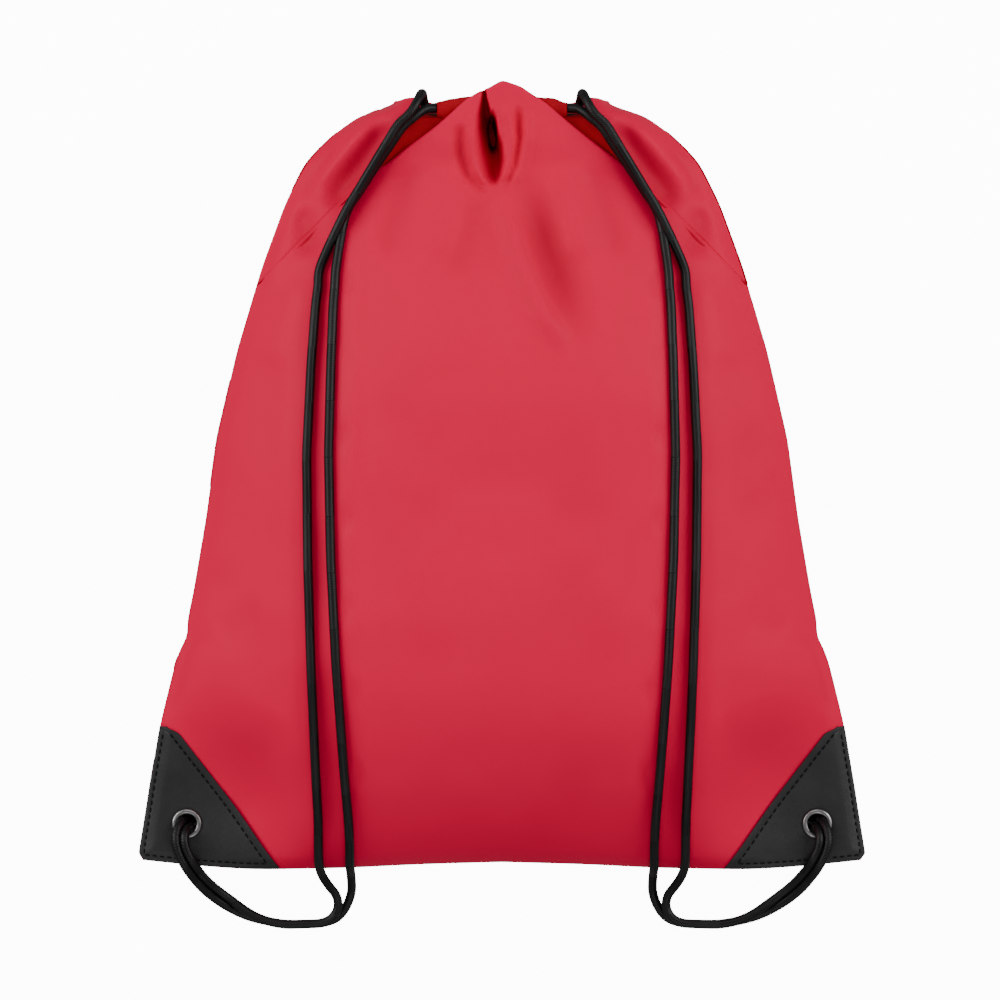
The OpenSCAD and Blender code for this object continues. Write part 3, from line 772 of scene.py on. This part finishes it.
def on_cloth(points):
    """Gives route points that have only x and y the height of a cord lying on the cloth."""
    out = []
    for p in points:
        if len(p) == 3:
            out.append(list(p))
            continue
        d = 0.5
        gx = float(top_z(p[0] + d, p[1]) - top_z(p[0] - d, p[1]))
        gy = float(top_z(p[0], p[1] + d) - top_z(p[0], p[1] - d))
        rise_over = (CORD_R + CORD_GAP) * math.sqrt(1 + gx * gx + gy * gy)
        out.append([p[0], p[1], float(top_z(p[0], p[1])) + rise_over])
    return out


def beside(points, distance):
    """The points moved to the left of their own direction, seen from above."""
    out = []
    for i, p in enumerate(points):
        a, b = points[max(i - 1, 0)], points[min(i + 1, len(points) - 1)]
        t = np.array([b[0] - a[0], b[1] - a[1]], float)
        t /= np.linalg.norm(t)
        out.append([p[0] - distance * t[1], p[1] + distance * t[0], *p[2:]])
    return out


def finer(points, pitch=16):
    out = [points[0]]
    for a, b in zip(points[:-1], points[1:]):
        n = math.ceil(math.dist(a, b) / pitch)
        out += [[a[k] + (b[k] - a[k]) * i / n for k in range(2)] for i in range(1, n + 1)]
    return out


def stacked_pair(outer):
    """The doubled cord on the shoulder: the outer strand rides on the inner one."""
    sign = -1 if outer else 1
    out = []
    for i, aside in enumerate(STACK_SIDE):
        point = on_cloth(beside(PAIR_TOP, sign * aside))[i]
        point[2] += STACK_LIFT[i] if outer else 0
        out.append(point)
    return out


def twisted_pair(offset):
    """One strand of the pair from the lane to the eyelet, wound round the other one."""
    middle = spline(PAIR_LOOP, 1.5)
    share = np.linspace(0, 1, len(middle))
    turn = -math.pi / 2 * (1 - smooth((share - 0.12) / 0.4))
    tangent = np.gradient(middle, axis=0)
    side = np.stack([-tangent[:, 1], tangent[:, 0], np.zeros(len(middle))], 1)
    flat = np.linalg.norm(side, axis=1)
    side[flat < 0.2] = side[flat >= 0.2][-1]
    side /= np.linalg.norm(side, axis=1)[:, None]
    up = np.cross(tangent / np.linalg.norm(tangent, axis=1)[:, None], side)
    lifted = middle + np.array([0, 0, 1.0]) * (LOOP_OFF * np.abs(np.sin(turn)))[:, None]
    path = lifted + offset * (np.cos(turn)[:, None] * side + np.sin(turn)[:, None] * up)
    path[:, 2] = np.maximum(path[:, 2], CORD_R + 0.05)
    return path


def strand(side, outer):
    """Centre line of one strand on one side of the bag, from its channel to the knot."""
    sign = -1 if outer else 1
    top = OUTER_TOP if outer else INNER_TOP[3:]
    run = OUTER_RUN if outer else INNER_RUN
    drop = OUTER_DROP if outer else INNER_DROP
    lane = OUTER_LANE if outer else INNER_LANE
    points = on_cloth([*top, *stacked_pair(outer), *finer(run)[1:], *drop, *lane])
    head = spline(points, 1.0)
    loop = twisted_pair(sign * LOOP_OFF)
    neck = loop[-1] + np.array([[0, 0, -2.0], [0, 0, -4.5], [0, 0, -7.0], [0, 0, -9.0]])
    path = relaxed(evenly(np.vstack([head, loop[3:], neck]), 1.0), 6)
    path = evenly(path, BRAID_STEP)
    path[:, 0] *= -side
    return path


def set_blend(obj):
    """Bakes the placement of the piece into its points."""
    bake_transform(obj)


def finish_piece(obj, material, slot, *replaced, body="root"):
    """Gives a piece its material, hides the nodes it replaces and, when a body is given, attaches the
    piece to it. The slot is not used.
    """
    obj.data.materials.append(material)
    if replaced:
        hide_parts(*replaced)
    if body:
        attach(obj, body)


SIDE_NAMES = {-1: "left", 1: "right"}


def make_strand(side, outer):
    word = SIDE_NAMES[side]
    kind = "outer" if outer else "inner"
    path = strand(side, outer)
    obj = join(f"strap_{word}_{kind}_cord", [braid(path)])
    set_blend(obj)
    nodes = [f"strap_{word}_{part}" for part in (kind, "top", "loop", "neck")]
    finish_piece(obj, cord_black, "cord", *nodes, body=None)
    return obj, path


def make_stub(side):
    """The short stretch of the inner strand at the hem."""
    word = SIDE_NAMES[side]
    path = spline([*INNER_TOP, stacked_pair(False)[0]], BRAID_STEP)
    path = path[path[:, 0] > -43.5]
    path[:, 0] *= -side
    obj = join(f"strap_{word}_stub", [braid(path)])
    set_blend(obj)
    finish_piece(obj, cord_black, "cord", f"strap_{word}_top", body=None)
    return obj, path


def make_turn(side):
    """The turn of the cord beyond the mouth, from one channel to the other."""
    word = SIDE_NAMES[side]
    path = relaxed(spline(TURN, BRAID_STEP), 4)
    path[:, 0] *= -side
    obj = join(f"cord_turn_{word}_braid", [braid(path)])
    set_blend(obj)
    finish_piece(obj, cord_black, "cord", f"cord_turn_{word}", body=None)


def hem_dip(x):
    """The drawn hem sinks where the pleat crosses it."""
    return -20.0 * np.exp(-((x - GAP_AT[0]) / 7.5) ** 4)


def make_channel_cords(name, reach, z, dips, body):
    parts = []
    x = np.arange(-reach, reach + 0.1, BRAID_STEP)
    height = z + dips * hem_dip(x)
    for y in (CHANNEL_Y, TURN_Y):
        sink = TURN_SINK * smooth((np.abs(x) - reach + 9) / 9) * (dips and y == TURN_Y)
        parts.append(braid(np.stack([x, np.full(len(x), y), height - sink], 1)))
    finish_piece(join(name + "_braids", parts), cord_black, "cord", name, body=body)


def make_knot(side):
    """Overhand knot in the two cord ends under the eyelet, with its tails on the floor."""
    word = SIDE_NAMES[side]
    middle = np.array([side * EYELET[0], EYELET[1]])
    parts = []
    t = np.linspace(0, 1, 70)
    for phase, sign in ((0.0, -1), (math.pi, 1)):
        angle = phase + 2 * math.pi * 1.35 * t
        r = np.interp(t, [0, 0.15, 0.8, 1], [PAIR_OFF, 3.1, 3.4, 3.0])
        wind = np.stack([middle[0] + r * np.cos(angle), middle[1] + r * np.sin(angle),
                         np.interp(t, [0, 0.15, 0.9, 1], [11.8, 9.0, 3.4, 2.5])], 1)
        tail = np.array([[middle[0] + sign * aside, middle[1] + on, FLOOR_Z]
                         for aside, on in ((2.2, 6.5), (3.2, 12), (5.4, 19))])
        parts.append(braid(relaxed(spline(np.vstack([wind[::5], tail]), BRAID_STEP), 12)))
    # the band of cord that closes the knot
    a = np.linspace(0, 2 * math.pi * 0.98, 60)
    band = np.stack([middle[0] + 3.3 * np.cos(a), middle[1] + 3.3 * np.sin(a),
                     6.4 + 1.6 * np.sin(a + 0.6)], 1)
    parts.append(braid(evenly(band, BRAID_STEP)))
    obj = join(f"knot_{word}_braid", parts)
    finish_piece(obj, cord_black, "cord", f"knot_{word}")
    return obj


def make_cords():
    for side in (-1, 1):
        knot = make_knot(side)
        stub, stub_path = make_stub(side)
        for outer in (True, False):
            obj, path = make_strand(side, outer)
        make_turn(side)
    make_channel_cords("back_channel_cords", CHANNEL_X, BACK_CHANNEL_Z - 0.8, True, "mouth")
    make_channel_cords("front_channel_cords", FRONT_CHANNEL_X, FRONT_CHANNEL_Z, False, "root")


# ---------------------------------------------------------------- camera, light and floor

CAMERA_HEIGHT = 5.0
FRAME_SIZE = 0.4808
FRAME_MIDDLE = (-0.001, -0.012)
WORLD_LIGHT = 0.34
FLOOR_GLOW = 12.0
# Name, place, size and power of each soft light
LIGHTS = [("key_left", (-1.7, 0.7, 1.1), (1.2, 1.6), 30),
          ("key_right", (1.7, 0.7, 1.1), (1.2, 1.6), 30),
          ("top_fill", (0, 1.4, 1.9), (1.6, 1.2), 6),
          ("foot_fill", (0, -1.5, 1.5), (1.8, 1.0), 7)]


def make_stage():
    cam = bpy.data.cameras.new("camera")
    cam.sensor_width = 36
    cam.lens = 36 * (CAMERA_HEIGHT - CORNER_Z * MM) / FRAME_SIZE
    cam.clip_end = 50
    eye = bpy.data.objects.new("camera", cam)
    eye.location = (*FRAME_MIDDLE, CAMERA_HEIGHT)
    bpy.context.scene.collection.objects.link(eye)
    bpy.context.scene.camera = eye

    bpy.ops.mesh.primitive_plane_add(size=14, location=(0, 0, -0.0006))
    floor = bpy.context.object
    floor.name = "floor"
    mat, _, shader = nodes_of("floor_white", (0.93, 0.93, 0.93), 0.9)
    shader.inputs["Emission Color"].default_value = (1, 1, 1, 1)
    shader.inputs["Emission Strength"].default_value = FLOOR_GLOW
    floor.data.materials.append(mat)
    floor.visible_diffuse = False
    floor.visible_glossy = False

    world = bpy.data.worlds.new("studio")
    world.use_nodes = True
    sky = world.node_tree.nodes["Background"].inputs
    sky["Color"].default_value = (1, 1, 1, 1)
    sky["Strength"].default_value = WORLD_LIGHT
    bpy.context.scene.world = world
    for name, where, size, power in LIGHTS:
        lamp = bpy.data.lights.new(name, "AREA")
        lamp.shape = "RECTANGLE"
        lamp.size, lamp.size_y = size
        lamp.energy = power
        obj = bpy.data.objects.new(name, lamp)
        obj.location = where
        aim = Vector((0, 0, 0.03)) - Vector(where)
        obj.rotation_euler = aim.to_track_quat("-Z", "Y").to_euler()
        bpy.context.scene.collection.objects.link(obj)


# ---------------------------------------------------------------- cloth


def shade_folds(obj):
    """Stores how deep each point lies in a fold, plus the share of the pleat's gap, for the painted
    shade that darkens the cloth there.
    """
    x, y, z = points_of(obj).T
    deep = np.clip(-panel_folds(x, y) / 7, 0, 1) * 0.5
    # The pleat's gap adds the most, for the near-black painted shadow there.
    deep += 0.5 * pleat_gap(x, y)
    deep[z < seam_z(y) - 1] = 0
    store(obj, "fold_shade", deep)


def make_back_cloth():
    cols = 2 * dense_steps(190, lambda t: 1 + 3.0 * np.exp(-((t - 0.465) / 0.075) ** 2)
                           + 0.8 * np.exp(-((t - 0.5) / 0.2) ** 2)) - 1
    rows = dense_steps(230, lambda t: 1 + 1.6 * smooth((t - 0.70) / 0.06)
                       + 2 * np.exp(-(t / 0.02) ** 2))
    across = cols * SLIT_X
    slope = (crest_y(across + 0.3) - crest_y(across - 0.3)) / 0.6
    out_x, out_y = -slope / np.hypot(slope, 1), 1 / np.hypot(slope, 1)
    top = crest_y(across) - BACK_ROLL * out_y
    v = rows[:, None]
    y = Y_BOTTOM + (top[None, :] - Y_BOTTOM) * v
    x = cols[None, :] * back_w(y)
    x = x - BACK_ROLL * out_x[None, :] * smooth((y - 140) / 20)
    z = back_surface(x, y)
    layers = [np.stack([x, y, z], 2)]
    last = layers[0][-1]
    for a in np.radians(np.arange(22.5, 181, 22.5)):
        out = BACK_ROLL * math.sin(a)
        turn = np.stack([last[:, 0] + out * out_x, last[:, 1] + out * out_y,
                         last[:, 2] - BACK_ROLL * (1 - math.cos(a))], 1)
        layers.append(turn[None])
    for share in (0.15, 0.4, 0.7, 1.0):
        inner_x = last[:, 0] - share * BACK_TUCK * out_x * 0.5
        inner_y = last[:, 1] - share * BACK_TUCK * out_y
        below = np.minimum(last[:, 2], back_surface(inner_x, inner_y))
        inner = np.stack([inner_x, inner_y, below - 2 * BACK_ROLL - 1.5 * share], 1)
        layers.append(inner[None])
    grid = np.vstack(layers)
    n, m = grid.shape[:2]
    verts, faces = grid.reshape(-1, 3), grid_faces(n, m)
    for side in (-1, 1):
        verts, faces = cut_hole(verts, faces, (side * EYELET[0], EYELET[1]), CLOTH_HOLE_R)
    obj = new_mesh("back_panel_cloth", verts, faces)
    drop_loose(obj)
    settle(obj)
    shade_folds(obj)
    finish_piece(obj, cloth_red, "cloth", "back_panel", body=None)
    obj.data.materials.append(cloth_lining)
    x, y, _ = points_of(obj).T
    set_blend(obj)
    thicken(obj, CLOTH_THICK, inner_material=True)


# Points across the flap and the wing, and their spacing over the wing and over the far side
FLAP, WING = 10, 38
WING_SPACING = np.sin(np.linspace(0, math.pi / 2, WING + 1))
FAR_SPACING = np.sin(np.linspace(-1, 1, 101) * math.pi / 2)
# Radius of the rolled rim and length of cloth turned in behind it
FRONT_ROLL, FRONT_TUCK = 1.3, 11.0
BACK_ROLL, BACK_TUCK = 1.6, 16.0


def slit_flap(yy, inner):
    """Turned-in edge of the side slit, seen between the cords and the gathered back panel."""
    under_crest = np.interp(yy, [144.5, 149, 158, 166, 173], [58, 50, 39, 28, 26])
    allowance = inner - 6 * smooth((yy - SEAM_LEAVE_Y) / 10)
    target = under_crest + (allowance - under_crest) * (1 - smooth((yy - SLIT_Y + 3) / 4))
    target = target + (inner - target) * smooth((yy - 171.5) / 5)
    u = np.linspace(1, 0, FLAP, endpoint=False)
    x = inner + (target - inner) * u
    depth = 0.5 + 2.0 * smooth(u * 1.6) + 6 * smooth((yy - 170.5) / 3) * smooth(u * 3)
    at = np.full(FLAP, yy)
    return x, top_z(x, at) - depth + 0.4 * value_noise(x, at, 5, 31)


def front_section(yy):
    """One row of the front panel: flap, wing, far side, then wing and flap on the right."""
    w = float(half_w(yy))
    far = w * FAR_SPACING
    far_z = front_surface(far, np.full(len(far), yy))
    inner = min(w, float(wing_x(yy))) if yy > SEAM_LEAVE_Y else w
    if inner < w:
        over = inner + (w - inner) * WING_SPACING
        flap_x, flap_z = slit_flap(yy, inner)
        x = np.concatenate([flap_x, over[:-1]])
        z = np.concatenate([flap_z, wing_surface(over, np.full(len(over), yy))[:-1]])
    else:
        x = np.full(FLAP + WING, w)
        z = np.full(FLAP + WING, far_z[-1])
    x, z = np.concatenate([-x, far, x[::-1]]), np.concatenate([z, far_z, z[::-1]])
    return np.stack([x, np.full(len(x), yy), z], 1)


def front_rim(last):
    """Rows that roll the top edge of the front panel over and tuck it in."""
    t = np.gradient(last, axis=0)
    inward = np.stack([-t[:, 2], np.zeros(len(t)), t[:, 0]], 1)
    inward /= np.linalg.norm(inward, axis=1)[:, None]
    up = np.array([0, 1.0, 0])
    rows = [last + FRONT_ROLL * (math.sin(a) * up + (1 - math.cos(a)) * inward)
            for a in np.radians(np.arange(30, 181, 30))]
    return rows + [last + 2 * FRONT_ROLL * inward - share * FRONT_TUCK * up for share in (0.3, 1.0)]


def make_front_cloth():
    rows = dense_steps(170, lambda t: 1 + 1.2 * smooth((t - 0.7) / 0.05)
                       + 1.5 * np.exp(-(t / 0.02) ** 2))
    grid = np.array([front_section(yy) for yy in Y_BOTTOM + (Y_MOUTH - Y_BOTTOM) * rows])
    # the rim is rounded off at the shoulders and sinks a little between the cords
    ax, ay = np.abs(grid[..., 0]), grid[..., 1]
    sunk = 0.9 + 1.6 * smooth((ax - 45) / 9) + 1.5 * smooth((39 - ax) / 6)
    grid[..., 1] = ay - smooth((ay - 170) / 10) * sunk
    grid = np.vstack([grid, np.array(front_rim(grid[-1]))])
    n, m = grid.shape[:2]
    verts, faces = grid.reshape(-1, 3), grid_faces(n, m, flip=True)
    for side in (-1, 1):
        verts, faces = cut_hole(verts, faces, (side * EYELET[0], EYELET[1]), CLOTH_HOLE_R)
    obj = new_mesh("front_panel_cloth", verts, faces)
    drop_loose(obj, weld=0.02)
    settle(obj)
    shade_folds(obj)
    finish_piece(obj, cloth_red, "cloth", "front_panel")
    obj.data.materials.append(cloth_lining)
    # The turned-in flaps of the side slits take that darker inner colour, which is partly painted
    # shade.
    for face in obj.data.polygons:
        x, y = abs(face.center.x) / MM, face.center.y / MM
        high = face.center.z / MM > float(seam_z(y)) + 4
        if y > SLIT_Y and high and x < float(wing_x(y)) - 0.2:
            face.material_index = 1
    thicken(obj, CLOTH_THICK, inner_material=True)


HEM_FOOT_Y, HEM_STITCH_Y = 166.2, 168.2


def make_hem(name, reach, y1, z, half, dips, body, crest):
    """The hem turned over into a channel round the cords, gathered into ruffles."""
    n, m = 130, 40
    x = np.linspace(-reach, reach, n)
    angle = np.linspace(0, 2 * math.pi, m, endpoint=False)
    ruffle = 0.35 * np.sin(x / 2.9 + 0.8) + 0.25 * np.sin(x / 1.7)
    drawn = smooth((np.abs(x) - reach + 7) / 7)
    top = y1 + crest * (1 - np.abs(x) / reach) ** 2 + 0.4 * ruffle - 1.6 * drawn
    foot = HEM_FOOT_Y + 4.6 * drawn * dips
    c, h = (foot + top) / 2, (top - foot) / 2
    thick = half * (1 - 0.18 * drawn)
    cy = np.sign(np.cos(angle)) * np.abs(np.cos(angle)) ** 0.75
    cz = np.sign(np.sin(angle)) * np.abs(np.sin(angle)) ** 0.75
    grid = np.stack([np.broadcast_to(x[:, None], (n, m)),
                     c[:, None] + h[:, None] * cy[None],
                     (z + dips * hem_dip(x))[:, None] + (thick + ruffle)[:, None] * cz[None]], 2)
    faces = [wrapped(j, i, m) for j in range(n - 1) for i in range(m)
             if not dips or abs(x[j] - GAP_AT[0]) > 6]
    obj = new_mesh(name + "_cloth", grid.reshape(-1, 3), faces)
    drop_loose(obj)
    finish_piece(obj, cloth_lining, "cloth", name, body=body)
    thicken(obj, CLOTH_THICK)


def make_hem_stitches(name, reach, z, dips, body):
    parts = []
    count = int(2 * (reach - 3) / 4)
    for i in range(count):
        x0 = (i - (count - 1) / 2) * 4
        if dips and abs(x0 + 5) < 9:
            continue
        xs = np.linspace(x0 - 1.3, x0 + 1.3, 7)
        arch = 0.25 * np.sin(np.linspace(0, math.pi, 7))
        zz = z + arch + dips * hem_dip(xs)
        parts.append(plain_tube(np.stack([xs, np.full(7, HEM_STITCH_Y), zz], 1), 0.32))
    finish_piece(join(name + "_thread", parts), red_thread, "cloth_thread", name, body=body)


def seam_height(x, y):
    """Height of the seam allowance: between the panels, then under the folds of the back one."""
    hidden = back_surface(x, y) - 2.6
    return seam_z(y) + (hidden - seam_z(y)) * smooth((y - SEAM_LEAVE_Y) / 14)


def make_side_seam(side):
    """Overlocked seam allowance inside the bag."""
    word = SIDE_NAMES[side]
    y = np.linspace(Y_BOTTOM + 9, SLIT_Y - 1, 150)
    edge = back_w(y) - 0.9
    u = np.linspace(0, 1, 5)
    wave = 0.35 * np.sin(y / 3.1)[:, None] * (1 - u)[None, :]
    x = side * (edge[:, None] - 6.0 * (1 - u)[None, :])
    rows = np.broadcast_to(y[:, None], x.shape)
    grid = np.stack([x, rows, seam_height(x, rows) + wave], 2)
    obj = new_mesh(f"side_seam_{word}_allowance", grid.reshape(-1, 3), grid_faces(len(y), 5))
    finish_piece(obj, cloth_lining, "cloth", f"side_seam_{word}")
    thicken(obj, ALLOWANCE_THICK)
    s = np.arange(0, len(y) - 1, 0.25)
    yy = np.interp(s, np.arange(len(y)), y)
    zig = np.abs((yy / 2.2) % 2 - 1)
    xx = side * (np.interp(yy, y, edge) - 6.2 + 3.4 * zig)
    zz = seam_height(xx, yy) + 0.35 * np.sin(yy / 3.1) * 0.8 + 0.35
    thread = join(f"side_seam_{word}_overlock", [plain_tube(np.stack([xx, yy, zz], 1), 0.25, 6)])
    finish_piece(thread, red_thread, "cloth_thread")


def make_bottom_seam():
    x, u = np.meshgrid(np.linspace(-165, 165, 170), np.linspace(0, 1, 5), indexing="ij")
    grid = np.stack([x, Y_BOTTOM + 1.0 + 6.0 * u, CORNER_Z + 0.25 * np.sin(x / 4.1)], 2)
    obj = new_mesh("bottom_seam_allowance", grid.reshape(-1, 3), grid_faces(170, 5, flip=True))
    settle(obj)
    finish_piece(obj, cloth_lining, "cloth", "bottom_seam")
    thicken(obj, ALLOWANCE_THICK)


# ---------------------------------------------------------------- corner patches

PATCH_RUN = PATCH_L - 17
PATCH_SLANT = math.hypot(PATCH_RUN, PATCH_H)
# How far the stitch line lies from each edge of a patch
SLOPE_IN, SIDE_IN, FOOT_IN = 3.4, 2.2, 2.8


def patch_inner(y):
    """Sloping edge of the patch at a height."""
    v = (y - Y_BOTTOM - 0.5) / PATCH_H
    return 175 - PATCH_L + PATCH_RUN * v + 4.0 * smooth((v - 0.94) / 0.06)


def patch_height(x, y, low):
    """Outer face of the leather over a point, on the right side."""
    base = front_surface(x, y) if low else back_surface(x, y)
    from_slope = (x - patch_inner(y)) * PATCH_H / PATCH_SLANT
    from_side = (half_w(y) - x) * 0.99
    from_foot = y - Y_BOTTOM
    inset = np.minimum(np.minimum(np.abs(from_slope - SLOPE_IN), np.abs(from_side - SIDE_IN)),
                       np.abs(from_foot - FOOT_IN))
    near_eyelet = np.hypot(x - EYELET[0], y - EYELET[1])
    band = 0.12 * (1 - smooth((from_slope - 4.0) / 0.9))
    groove = -0.34 * np.exp(-(inset / 0.7) ** 2)
    puff = 0.35 * smooth((inset - 1.0) / 5) * smooth((near_eyelet - 7) / 8)
    edge = np.minimum(np.minimum(from_slope, from_side), from_foot)
    rounded = -0.45 * (1 - smooth(edge / 0.8))
    press = -0.30 * np.exp(-((near_eyelet - 6.9) / 1.2) ** 2)
    rough = 0.10 * value_noise(x, y, 7, 21)
    lift = 1.5 + band + groove + puff + rounded + press + rough
    return base - lift if low else base + lift


def make_patch(side, low):
    word = SIDE_NAMES[side]
    face = "front" if low else "back"
    count = 85
    steps = np.linspace(0, 1, count)
    v, u = np.meshgrid(steps, steps, indexing="ij")
    y = Y_BOTTOM + 0.2 + PATCH_H * v
    inner = patch_inner(y)
    x = inner + (half_w(y) + 0.15 - inner) * u
    grid = np.stack([side * x, y, patch_height(x, y, low)], 2)
    verts, faces = grid.reshape(-1, 3), grid_faces(count, count, flip=(side < 0) != low)
    verts, faces = cut_hole(verts, faces, (side * EYELET[0], EYELET[1]), PATCH_HOLE_R)
    obj = new_mesh(f"patch_{face}_{word}_leather", verts, faces)
    drop_loose(obj)
    settle(obj)
    finish_piece(obj, leather, "leather", f"patch_{face}_{word}")
    thicken(obj, PATCH_THICK)


def make_patch_stitches(side, low):
    word = SIDE_NAMES[side]
    face = "front" if low else "back"
    foot_y = Y_BOTTOM + FOOT_IN

    def slope_x(y):
        return float(patch_inner(y)) + SLOPE_IN * PATCH_SLANT / PATCH_H

    def side_x(y):
        return float(half_w(y)) - SIDE_IN

    top_y = Y_BOTTOM + PATCH_H - 3.0
    while slope_x(top_y) > side_x(top_y) - 0.8:
        top_y -= 0.5
    corners = [(slope_x(foot_y), foot_y), (side_x(foot_y), foot_y)]
    side_rows = [(side_x(y), y) for y in np.linspace(foot_y, top_y, 14)]
    slope_rows = [(slope_x(top_y), top_y), (slope_x(foot_y), foot_y)]
    parts = []
    for line in (corners, side_rows, slope_rows):
        line = np.array(line, float)
        dist = np.concatenate([[0], np.cumsum(np.hypot(*np.diff(line, axis=0).T))])
        count = int(dist[-1] / 3.4)
        for i in range(count):
            mid = (i + 0.5) * dist[-1] / count
            at = mid + np.linspace(-1.25, 1.25, 7)
            px = np.interp(at, dist, line[:, 0])
            py = np.interp(at, dist, line[:, 1])
            arch = 0.34 * np.sin(np.linspace(0, math.pi, 7)) - 0.10
            pz = patch_height(px, py, low) + (-arch if low else arch)
            parts.append(plain_tube(np.stack([side * px, py, pz], 1), 0.34))
    obj = join(f"stitches_{face}_{word}_thread", parts)
    settle(obj)
    finish_piece(obj, black_thread, "patch_thread", f"stitches_{face}_{word}")


def make_eyelet(side):
    """A rolled flange and barrel above, and the washer that it is rolled over below."""
    word = SIDE_NAMES[side]
    middle = (side * EYELET[0], EYELET[1])
    top, foot = CORNER_Z + 3.15, CORNER_Z - 3.15
    bore, outer = EYELET_D / 2, FLANGE_D / 2
    dome = [(bore + (outer - bore) * (1 - math.cos(a)) / 2, top + 0.15 + 0.75 * math.sin(a))
            for a in np.linspace(0, math.pi, 15)]
    flange = [*dome, (outer - 0.1, top - 0.1), (bore + 0.9, top - 0.15), (bore + 0.6, foot),
              (bore + 0.6, foot - 0.3), (bore, foot - 0.4)]
    obj = join(f"eyelet_{word}_metal", [lathe(flange, middle)])
    finish_piece(obj, nickel, "eyelet", f"eyelet_{word}")
    inner = bore + 0.7
    rim = [(inner + (outer - inner) * (1 - math.cos(a)) / 2, foot - 0.1 - 0.6 * math.sin(a))
           for a in np.linspace(0, math.pi, 11)]
    ring = join(f"washer_{word}_metal", [lathe([*rim, (outer - 0.2, foot + 0.05),
                                                (inner, foot + 0.05)][::-1], middle)])
    finish_piece(ring, nickel, "eyelet", f"washer_{word}")


# ---------------------------------------------------------------- the bag

make_stage()
make_cords()
make_front_cloth()
make_back_cloth()
make_hem("back_hem_channel", CHANNEL_X, 179.3, BACK_CHANNEL_Z - 0.8, 3.2, True, "mouth", 4)
make_hem("front_hem_channel", FRONT_CHANNEL_X, 179.0, FRONT_CHANNEL_Z, 4.0, False, "root", 0)
make_hem_stitches("back_hem_stitches", CHANNEL_X, BACK_CHANNEL_Z + 2.6, True, "mouth")
make_hem_stitches("front_hem_stitches", FRONT_CHANNEL_X, FRONT_CHANNEL_Z + 4.2, False, "root")
make_bottom_seam()
for each_side in (-1, 1):
    make_side_seam(each_side)
    make_eyelet(each_side)
    for is_front in (False, True):
        make_patch(each_side, is_front)
        make_patch_stitches(each_side, is_front)
